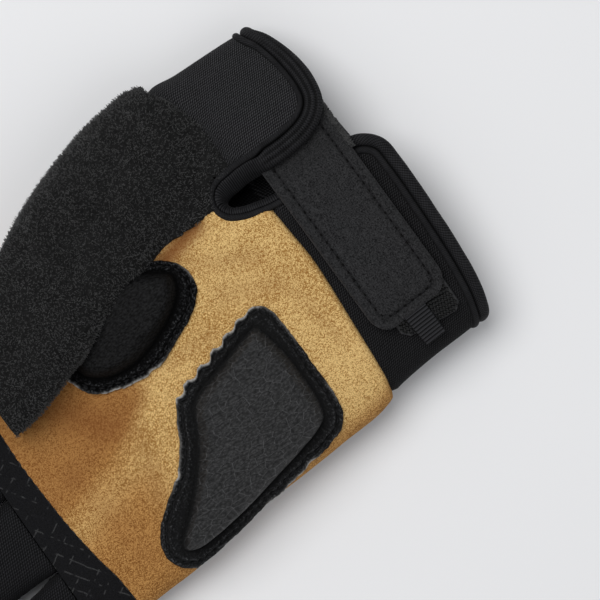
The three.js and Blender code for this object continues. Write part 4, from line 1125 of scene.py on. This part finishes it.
def makeBinding():
    # a soft outer roll and a thin cord inside it; on the flap the roll is wide with two lengthwise grooves,
    # and round the keyhole it becomes a gathered lining that slopes down into the slit
    turn = np.concatenate([np.linspace(0, np.pi, 27)[:-1], np.linspace(np.pi, 2 * np.pi, 10)[:-1]])
    line = edgeLine[:-1]
    length = lengthAlong(line)
    spans = np.arange(0, length[-1], edgeRoll["step"])
    row = np.interp(spans, length, np.arange(len(line)) / edgeRoll["perSpan"])[:, None]
    line, side = readLine(spans, length, line), readLine(spans, length, inward[:-1])
    y = line[:, 1:]
    slope, flap = fitted(row, y, 0, 0, 1), fitted(row, y, 0, 1, 0)
    lumps = 1 + 0.04 * softNoise(spans, 0, 6.0, 1.0)[:, None]
    lining = [readTable(liningRows, "turn", key, turn) for key in ("aside", "height")]
    pleat = np.sin(spans * 2 * np.pi / 1.5 + 3 * softNoise(spans, 0, 3.0, 1.0))[:, None]
    pleat = pleat * (0.08 + 0.2 * smoothStep(3, 8, line[:, 1])[:, None]) * smoothStep(-0.1, 0.5, np.sin(turn))
    for name in ("edge_roll", "edge_welt"):
        if name == "edge_roll":
            halfWide = fitted(row, y, 1.85, 2.5, 1.85) * lumps
            aside = fitted(row, y, -0.8, -0.15, -0.8) + halfWide * np.cos(turn)
            height = -1.15 + 1.9 * lumps * np.sin(turn)
            ridges = bell(aside + 1.25, 0.34) + bell(aside - 0.45, 0.34)
            height = height - 0.6 * flap * ridges * (np.sin(turn) > 0)
            aside = aside * (1 - slope) + lining[0] * slope
            height = height * (1 - slope) + (lining[1] + pleat) * slope
        else:
            aside = fitted(row, y, 2.0, 3.0, 1.72) + fitted(row, y, 1.02, 0.74, 0.8) * lumps * np.cos(turn)
            tall = fitted(row, y, 0.95, 0.95, 0.85)
            height = fitted(row, y, -0.2, -0.35, 0.0) + tall * lumps * np.sin(turn)
        place = line[:, None] + side[:, None] * aside[..., None]
        points = flapPoint(place[..., 0], place[..., 1], height)
        middle = points.mean(1, keepdims=True)
        rows = np.concatenate([points, points[:1]])
        outward = rows - np.concatenate([middle, middle[:1]])
        around = np.arange(len(rows))[:, None] * edgeRoll["step"]
        walk = np.broadcast_to(turn * 1.9, rows.shape[:2])
        gather = np.clip(slope + 0.6 * flap, 0, 1) if name == "edge_roll" else 0.3 * slope
        gather = np.broadcast_to(np.concatenate([gather, gather[:1]]), rows.shape[:2])
        facing = np.cos(turn) if name == "edge_roll" else np.abs(np.cos(turn))
        # painted shade where the roll and welt face the gaps beside them and in the flap's grooves
        grooveShade = smoothStep(0.55 + 0.3 * slope, 1.0, facing) * 0.85
        if name == "edge_roll":
            grooveShade = np.maximum(grooveShade, 0.8 * flap * ridges * (np.sin(turn) > 0))
        grooveShade = np.concatenate([grooveShade, grooveShade[:1]])
        obj = gridObject(name, rows, outward, closeColumns=True, uv=(walk, around),
                         fields=dict(gather=gather, grooveShade=grooveShade))
        finishPiece(obj, "bindingKnit", "binding", *(["cuff_binding"] if name == "edge_roll" else []))


strap = dict(width=23.2, thickness=2.2, length=66.0, corner=5.6, lean=-0.02, endX=16.6, lay=1.4,
             stitchInset=3.1, stitchPitch=2.4, stitchTurn=2.8, stitch=(1.6, 0.34, 0.1),
             needleHole=(0.95, 0.55, 0.08), endRound=1.1)
pile = dict(count=1300, reach=(43, 61), inside=(-0.5, 0.1), level=(0.1, 1.0), length=(0.5, 1.0), width=0.2,
            arch=(0.5, 1.6), spread=0.5)
strapMiddle = hand["cuffLength"] * (-0.16 - 0.785) / 2
strapDrop = (edgeRoll["wall"] + edgeRoll["height"]) / 2 + edgeRoll["gap"]
strapDrop = strapDrop + strap["thickness"] - edgeRoll["lift"]
strapEnd = float(girthAt(angleAcross(strap["endX"], strapMiddle)))


def strapPlace(fromEnd, aside, share):
    # a point of the strap: from its end, from its middle line, and from its underside (0) to its face (1)
    distance = strapEnd - fromEnd
    x = cuffPoint(distance, strapMiddle, 0)[..., 0]
    drop = smoothStep(60, 67, x)
    sag = edgeRoll["lift"] - liftAt(distance + girth, strapMiddle)
    under = strap["lay"] - drop * (strap["lay"] + strapDrop) - sag
    y = strapMiddle - strap["lean"] * fromEnd + aside
    return cuffPoint(distance, y, under + share * strap["thickness"])


def strapHalf(fromEnd, inset=0.0):
    # half width, drawn in by a quarter circle at the corners of the end
    radius = strap["corner"] - min(inset, strap["corner"] - 1.0)
    corner = np.clip(radius - (fromEnd - inset), 0, radius)
    return strap["width"] / 2 - inset - radius + np.sqrt(radius**2 - corner**2)


def makeStrap():
    # rows along the strap; each is a flat loop with round edges, thinned to nothing at the end
    rounding = strap["endRound"] * (1 - np.cos(np.linspace(0, np.pi / 2, 7)))
    fromEnd = np.concatenate([rounding, np.linspace(1.3, strap["length"], 165)])
    s = np.sin(np.linspace(-np.pi / 2, np.pi / 2, 66)) * 0.35 + np.linspace(-1, 1, 66) * 0.65
    lap, fat = flatLoop(s, 20)
    closing = closingIn(fromEnd, strap["endRound"])
    halfWide = strapHalf(fromEnd)[:, None]
    aside = halfWide * lap
    inset = np.minimum(halfWide - np.abs(aside), fromEnd[:, None])
    line = bell(inset - strap["stitchInset"], 0.5) * (fat > 0)
    puff = 0.16 * softNoise(fromEnd[:, None], aside, 9.0, 2.7) + 0.12 * bell(inset - 1.2, 1.6)
    share = 0.5 + fat * 0.5 * closing + (puff - 0.32 * line) * (fat > 0) * closing / strap["thickness"]
    points = strapPlace(fromEnd[:, None] + 0 * lap, aside, share)
    outward = points - strapPlace(fromEnd[:, None] + 0 * lap, aside * 0.98, 0.5)
    # the stitch line's groove is given painted shade
    obj = gridObject("strap_microfibre", points, outward, closeColumns=True,
                     uv=(fromEnd[:, None], aside), fields=dict(stitchLineShade=line * 0.35))
    finishPiece(obj, "microfibre", "microfibre", "strap")
    # stitches on a line inside the edge, round the end
    run = np.linspace(strap["length"] - 8, strap["stitchInset"] + strap["corner"] - 1, 140)
    inset = strap["stitchInset"]
    bend = np.linspace(0, np.pi / 2, 14)
    radius, flat = strap["stitchTurn"], strap["width"] / 2 - inset
    sideA = np.stack([run, np.full(len(run), flat)], -1)
    cornerA = np.stack([inset + radius - radius * np.sin(bend), flat - radius + radius * np.cos(bend)], -1)
    oneSide = np.concatenate([sideA, cornerA])
    whole = evenLine(np.concatenate([oneSide, oneSide[::-1] * [1, -1]]), 420)
    path = strapPlace(whole[:, 0], whole[:, 1], 1.0 - 0.26 / strap["thickness"])
    ups = unit(path - strapPlace(whole[:, 0], whole[:, 1], 0.0))
    spots, alongs, ups = placesAlong(path, ups, strap["stitchPitch"])
    sew("strap_stitches", (spots, alongs, ups), strap["stitch"], "darkThread", "microfibre", -0.02)
    # painted shade of the needle holes: dark dots between the threads
    between = (spots[:-1] + spots[1:]) / 2, alongs[:-1], ups[:-1]
    sew("strap_needle_hole_shade", between, strap["needleHole"], "holeShade", "microfibre", 0.05)
    # loose pile along the lower edge near the flap
    count = pile["count"]
    fromEnd = chance.uniform(*pile["reach"], count)
    aside = -strap["width"] / 2 - chance.uniform(*pile["inside"], count)
    spots = strapPlace(fromEnd, aside, chance.uniform(*pile["level"], count))
    out = strapPlace(fromEnd, aside - 1, 0.5) - strapPlace(fromEnd, aside, 0.5)
    out = unit(out + pile["spread"] * chance.normal(size=(count, 3)))
    lean = unit(np.cross(out, chance.normal(size=(count, 3))))
    fibres = threadMesh("strap_pile", spots, lean, out, chance.uniform(*pile["length"], count),
                        pile["width"], chance.uniform(*pile["arch"], count), rings=4, sides=3)
    finishPiece(fibres, "terryYarn", "microfibre")


hook = dict(width=17.8, length=28.0, thickness=0.8, aside=0.085, beyond=7.2, corner=2.0, pitch=1.05,
            slant=0.16, endRound=0.4, hookSize=(0.95, 0.42, 0.8))
tab = dict(width=7.0, length=9.8, thickness=1.8, ribs=10, endRound=0.9)


def hookPoint(far, aside, height):
    # from the tape's far end back along it, across it, and above the skin
    along = far - hook["beyond"] + aside * hook["slant"]
    return cuffPoint(strapEnd - along, strapMiddle - hook["aside"] * strap["width"] + aside, height)


def makeHookPatch():
    # a thin moulded tape with cut corners and a raised rim, filled with slanting rows of hooks
    far = np.linspace(0, hook["length"], 70)
    halfWide = hook["width"] / 2 - np.clip(hook["corner"] - far, 0, None)
    s = np.linspace(-1, 1, 46)
    lap, fat = flatLoop(s, 22)
    closing = closingIn(far, hook["endRound"])
    aside = halfWide[:, None] * lap
    inset = np.minimum(halfWide[:, None] - np.abs(aside), far[:, None])
    rim = (1 - smoothStep(0.55, 0.8, inset)) * (fat > 0)
    height = 0.35 + hook["thickness"] * (0.5 + 0.5 * fat * closing) * (0.62 + 0.38 * rim)
    points = hookPoint(far[:, None], aside, height)
    outward = points - hookPoint(far[:, None], aside * 0.98, 0.7)
    obj = gridObject("hook_tape", points, outward, closeColumns=True, fields=dict(rim=rim))
    finishPiece(obj, "hookRim", "hook", "hook_patch")
    # field of the tape, and the hooks on it
    u, v = np.meshgrid(np.arange(0.9, 15, hook["pitch"]), np.arange(-8.0, 8.1, hook["pitch"] * 0.8),
                       indexing="ij")
    v = v + (np.arange(u.shape[0]) % 2)[:, None] * hook["pitch"] * 0.4
    shown = np.abs(v) < hook["width"] / 2 - 0.8 - np.clip(hook["corner"] - u, 0, None)
    u, v = u[shown], v[shown]
    root = hookPoint(u, v, 0.75)
    up = unit(hookPoint(u, v, 2.0) - root)
    lean = unit(np.array([0.75, 0.66, 0.0]) + 0.12 * chance.normal(size=up.shape))
    lean = unit(lean - up * np.einsum("ij,ij->i", lean, up)[:, None])
    hooks = threadMesh("hook_tape_hooks", root, lean, up, *hook["hookSize"], rings=6, sides=5)
    finishPiece(hooks, "hookTape", "hook")
    u, v = np.meshgrid(np.linspace(0.7, 15.5, 40), np.linspace(-1, 1, 34), indexing="ij")
    wide = hook["width"] / 2 - 0.7 - np.clip(hook["corner"] - u, 0, None)
    field = hookPoint(u, v * wide, 0.93)
    finishPiece(gridObject("hook_tape_field", field, [0, 0, 1.0]), "hookTape", "hook")


def makeTab():
    # ribbon folded over at its end: ribs across it, two layers with a slit between at the fold
    far = np.concatenate([[-1.6], np.linspace(-1.5, tab["length"], 110)])
    past = np.maximum(far, 0)[:, None]
    lap, fat = flatLoop(np.linspace(-1, 1, 30), 30)
    closing = closingIn(tab["length"] - far, tab["endRound"])
    rib = (0.5 + 0.5 * np.cos((far / tab["length"] * tab["ribs"]) * 2 * np.pi))[:, None] ** 0.8
    top = fat > 0
    height = 1.25 + tab["thickness"] * (0.5 + 0.42 * fat * closing)
    height = height + 0.3 * rib * np.where(top, 1, -0.3) * closing - 0.06 * past
    aside = (tab["width"] / 2 + 0.09 * rib) * lap * (1 - 0.012 * past)
    distance = strapEnd + far[:, None] + 0 * lap
    middle = strapMiddle + 0.35 - 0.07 * past
    points = cuffPoint(distance, middle + aside, height)
    outward = points - cuffPoint(distance, middle + aside * 0.98, 2.1)
    # the rib field lights the crests on the top only, as painted light
    obj = gridObject("pull_tab_ribbon", points, outward, closeColumns=True, uv=(far[:, None], aside),
                     fields=dict(rib=rib * top))
    finishPiece(obj, "ribbon", "ribbon", "pull_tab")


pads = dict(flange=1.1, dome=4.4, gap=0.35, around=400, holeInset=1.55, holePitch=2.4, holeWide=1.0,
            threadWide=0.34, shoulder=4.2, domeRings=50, rimRings=22, wallRings=5)
heelRows = [  # cut edge x, y and foot of the dome x, y, in hand widths and palm lengths
    (0.02, 0.155, 0.06, 0.188), (0.08, 0.134, 0.1, 0.173), (0.18, 0.133, 0.18, 0.17),
    (0.28, 0.136, 0.255, 0.173), (0.35, 0.141, 0.32, 0.185), (0.393, 0.162, 0.354, 0.2),
    (0.396, 0.215, 0.35, 0.235), (0.382, 0.27, 0.338, 0.28), (0.367, 0.32, 0.322, 0.33),
    (0.352, 0.37, 0.308, 0.385), (0.338, 0.425, 0.294, 0.428), (0.314, 0.478, 0.27, 0.458),
    (0.265, 0.513, 0.227, 0.48), (0.2, 0.55, 0.175, 0.512), (0.145, 0.602, 0.115, 0.56),
    (0.105, 0.66, 0.07, 0.603), (0.06, 0.71, 0.035, 0.642), (0.01, 0.74, 0.007, 0.678),
    (-0.04, 0.733, -0.018, 0.692), (-0.072, 0.695, -0.032, 0.668), (-0.072, 0.64, -0.033, 0.618),
    (-0.06, 0.55, -0.024, 0.535), (-0.045, 0.46, -0.01, 0.45), (-0.032, 0.37, 0.006, 0.365),
    (-0.02, 0.29, 0.022, 0.29), (-0.004, 0.205, 0.042, 0.22),
]
thenarRows = [
    (0.5, 0.29, 0.54, 0.335), (0.54, 0.265, 0.565, 0.315), (0.585, 0.265, 0.59, 0.31),
    (0.625, 0.29, 0.615, 0.34), (0.66, 0.34, 0.64, 0.38), (0.68, 0.42, 0.65, 0.44),
    (0.685, 0.51, 0.65, 0.51), (0.67, 0.59, 0.635, 0.57), (0.63, 0.65, 0.6, 0.615),
    (0.57, 0.685, 0.555, 0.64), (0.5, 0.68, 0.51, 0.635), (0.45, 0.645, 0.48, 0.6),
    (0.425, 0.59, 0.466, 0.56), (0.412, 0.52, 0.465, 0.51), (0.418, 0.45, 0.478, 0.455),
    (0.445, 0.385, 0.497, 0.405), (0.47, 0.335, 0.517, 0.365),
]


def makePad(name, rows, node, finish, spread, scallops):
    # two outlines, the cut edge and the dome's foot; rings run from the middle out to the foot, down a low
    # dome with a round shoulder, then over the flat rim to the edge and down it
    both = smoothLine(np.array(rows) * hand["width"], 40, closed=True)
    both = np.concatenate([both, both[:1]])
    length = lengthAlong(both[:, :2])
    count, total = pads["around"], length[-1]
    at = np.linspace(0, total, count, endpoint=False)
    both = readLine(at, length, both)
    edge, foot = both[:, :2], both[:, 2:]
    foot = foot + (edge - foot) * spread
    # pinked edge: shallow bites where the cut runs free
    share = at / total
    wave = np.zeros(count)
    for start, end, pitch, deep in scallops:
        inside = smoothStep(start, start + 0.02, share) * (1 - smoothStep(end - 0.02, end, share))
        teeth = ((at + 1.3 * softNoise(at, 0, 7.0, 1.0)) / pitch) % 1.0
        bite = np.sin(np.pi * np.minimum(teeth / 0.7, 1)) ** 0.8
        wave = wave + inside * (0.35 - bite) * deep * (1 + 0.4 * softNoise(at, 0, 5.0, 6.0))
    tangent = unit(np.roll(edge, -1, 0) - np.roll(edge, 1, 0))
    outwards = np.stack([tangent[:, 1], -tangent[:, 0]], -1)
    outwards = outwards * np.sign(np.sum(outwards * (edge - foot)))
    ragged = 0.16 * softNoise(at, 0, 0.8, 2.0) + 0.14 * softNoise(at, 0, 2.3, 4.0)
    edge = edge + outwards * (wave + ragged)[:, None]
    middle = foot.mean(0)
    # dome rings
    out = 1 - (1 - np.linspace(0.0, 1, pads["domeRings"]) ** 0.9) ** 1.35
    out[0] = 0.004
    wide = np.linalg.norm(foot - middle, axis=1)
    place = middle + (foot - middle) * out[:, None, None]
    toFoot = (1 - out)[:, None] * wide * 0.92
    shoulder = 1 - np.clip(1 - toFoot / pads["shoulder"], 0, 1) ** 2.1
    rise = pads["dome"] * shoulder * (0.97 + 0.03 * (1 - out[:, None] ** 2))
    wrinkle = softNoise(place[..., 0], place[..., 1] * 0.42, 1.5, 3.0) * 0.07
    wrinkle = wrinkle + softNoise(place[..., 0], place[..., 1], 6.0, 8.0) * 0.14
    puckers = 0.22 * bell(toFoot - 1.0, 1.1) * softNoise(at[None] + 0 * toFoot, toFoot * 0.3, 2.6, 5.0)
    rise = rise + (wrinkle + puckers) * smoothStep(0, 1.2, toFoot) - 0.45 * bell(toFoot, 0.45)
    # rim rings
    over = np.linspace(0, 1, pads["rimRings"] + 1)[1:, None]
    over = np.sin(over * np.pi / 2) * 0.5 + over * 0.5
    rim = foot + (edge - foot) * over[..., None]
    rimWide = np.linalg.norm(edge - foot, axis=1)
    fromFoot, toEdge = over * rimWide, (1 - over) * rimWide
    flat = softNoise(*apart(rim), 0.8, 9.0) * 0.13 + softNoise(*apart(rim), 2.4, 6.0) * 0.16
    hole = bell(toEdge - pads["holeInset"], pads["holeWide"] * 0.55)
    beat = bell(((at / pads["holePitch"]) % 1.0 - 0.5) * pads["holePitch"], pads["holeWide"] * 0.5)
    inner = bell(fromFoot - 1.1, 0.4) * np.roll(beat, 10)
    rimRise = flat + 0.55 * bell(toEdge - 2.6, 0.6) - hole * (0.4 + 0.6 * beat)
    rimRise = rimRise - 0.6 * bell(fromFoot, 0.6) - 0.3 * inner
    rimRise = np.maximum(rimRise - 0.3 * bell(toEdge, 0.35), -0.8)
    # edge wall rings
    drop = np.linspace(0, 1, pads["wallRings"] + 1)[1:, None]
    wall = edge + outwards * (0.12 * np.sin(np.pi * drop))[..., None]
    places = np.concatenate([place, rim, wall])
    lift = np.concatenate([pads["flange"] + rise, pads["flange"] + rimRise,
                           rimRise[-1] * (1 - drop) + pads["flange"] * (1 - drop) - 0.3 * drop])
    points, normal = onSkin(places[..., 0], places[..., 1], pads["gap"] + lift)
    onWall = 0 * wall[..., 0]
    rimMask = np.concatenate([smoothStep(-0.02, 0.35, 0.3 - toFoot), 0 * rimRise + 1, onWall + 1])
    chafed = smoothStep(0.1, 0.5, softNoise(at, 0, 9.0, 3.0))
    bare = np.clip(smoothStep(0.0, 0.2, np.abs(wave)) + 0.3 * chafed, 0, 1)
    cut = np.concatenate([0 * rise, bell(toEdge, 0.4) * bare, onWall + bare])
    # painted shade in the foot groove, the inner dents and the stitch holes
    rimSunkShade = 0.9 * (bell(fromFoot, 0.6) + inner) + hole * (0.9 * beat + 0.45)
    sunkShade = np.concatenate([0.85 * bell(toFoot, 0.9), rimSunkShade, onWall])
    rimFray = bell(toEdge - 0.6, 0.8) + 0.7 * bell(toEdge - 2.6, 0.5)
    fray = np.concatenate([0 * rise, rimFray, onWall + 0.6])
    hidden = insideThumb(*apart(points), 0.9)
    obj = gridObject(name, points, normal, ~hidden, closeColumns=True,
                     fields=dict(rim=rimMask, cut=cut, sunkShade=sunkShade, fray=fray))
    finishPiece(obj, finish, "pad_leather", node)
    # threads between the holes
    inset = edge - outwards * pads["holeInset"]
    path, ups = onSkin(inset[:, 0], inset[:, 1], np.full(count, pads["gap"] + pads["flange"] - 0.12))
    places = placesAlong(path, ups, pads["holePitch"], closed=True)
    places = [part[~insideThumb(*places[0].T, -0.6)] for part in places]
    sew(name + "_stitches", places, (1.5, pads["threadWide"], 0.08), "darkThread", "pad_leather")


makeThumb()
makePalm()
makeBack()
makePatch()
print("stage: hand panels made")
for row in stallRows:
    makeStall(row)
makeCuff()
makeBinding()
makeStrap()
makeHookPatch()
makeTab()
print("stage: cuff, roll and strap made")
makePad("heel_pad_leather", heelRows, "heel_pad", "padLeather", 0.0,
        [(0.21, 0.415, 5.2, 1.0), (0.5, 0.535, 5.0, 0.8), (0.8, 0.95, 7.0, 0.3)])
makePad("thenar_pad_leather", thenarRows, "thenar_pad", "thenarLeather", 0.2,
        [(0.66, 0.84, 5.5, 0.5), (0.45, 0.62, 6.0, 0.3)])
print("stage: pads made")


studio = dict(floor=3.0, away=1600.0, frameWidth=157.9, target=(-11.6, -40.35, 22.0),
              turn=(-0.5736, -0.8192), lit=(0, -0.03, 0), floorDrop=0.05,
              room=(0.95, 0.97, 1.0, 1.0), roomLight=0.32)
lights = table(
    "name place size power",
    ("window", (0.56, 0.1, 1.28), 1.1, 13.4), ("fill", (-0.9, 0.1, 1.2), 1.4, 3.2),
)


def stand(name, data, axes, place):
    # puts a light or camera at its place, with its own axes turned to the given ones
    obj = bpy.data.objects.new(name, data)
    bpy.context.scene.collection.objects.link(obj)
    turned = np.column_stack([np.vstack(axes).T, place]).tolist()
    obj.matrix_world = Matrix(turned + [[0, 0, 0, 1]])
    return obj


def areaLight(name, place, size, power):
    data = bpy.data.lights.new(name, "AREA")
    data.shape, data.size, data.energy = "DISK", size, power
    back = unit(np.array(place) - studio["lit"])
    side = unit(np.cross([0.0, 1.0, 0.001], back))
    stand(name, data, [side, np.cross(back, side), back], place)


floorHalf = studio["floor"] / 2 / metre
corners = np.array([[-1, -1], [1, -1], [1, 1], [-1, 1]]) * floorHalf
corners = np.column_stack([corners, np.full(4, -studio["floorDrop"])]) - seamCorner
floor = makeObject("pale_floor", corners, [[0, 1, 2, 3]], smooth=False)
floor.data.materials.append(makeFloor())

for light in lights:
    areaLight(**light)
world = bpy.data.worlds.new("paleRoom")
world.use_nodes = True
background = world.node_tree.nodes["Background"]
background.inputs["Color"].default_value = studio["room"]
background.inputs["Strength"].default_value = studio["roomLight"]
bpy.context.scene.world = world
bpy.context.scene.view_settings.view_transform = "Standard"

cameraData = bpy.data.cameras.new("camera")
cameraData.sensor_width = 36.0
cameraData.lens = cameraData.sensor_width * studio["away"] / studio["frameWidth"]
cameraData.clip_start, cameraData.clip_end = 0.1, 10.0
right = np.array([*studio["turn"], 0.0])
up = np.array([-right[1], right[0], 0.0])
place = (np.array(studio["target"]) + [0, 0, studio["away"]]) * metre
bpy.context.scene.camera = stand("camera", cameraData, [right, up, [0, 0, 1]], place)

print("stage: done")
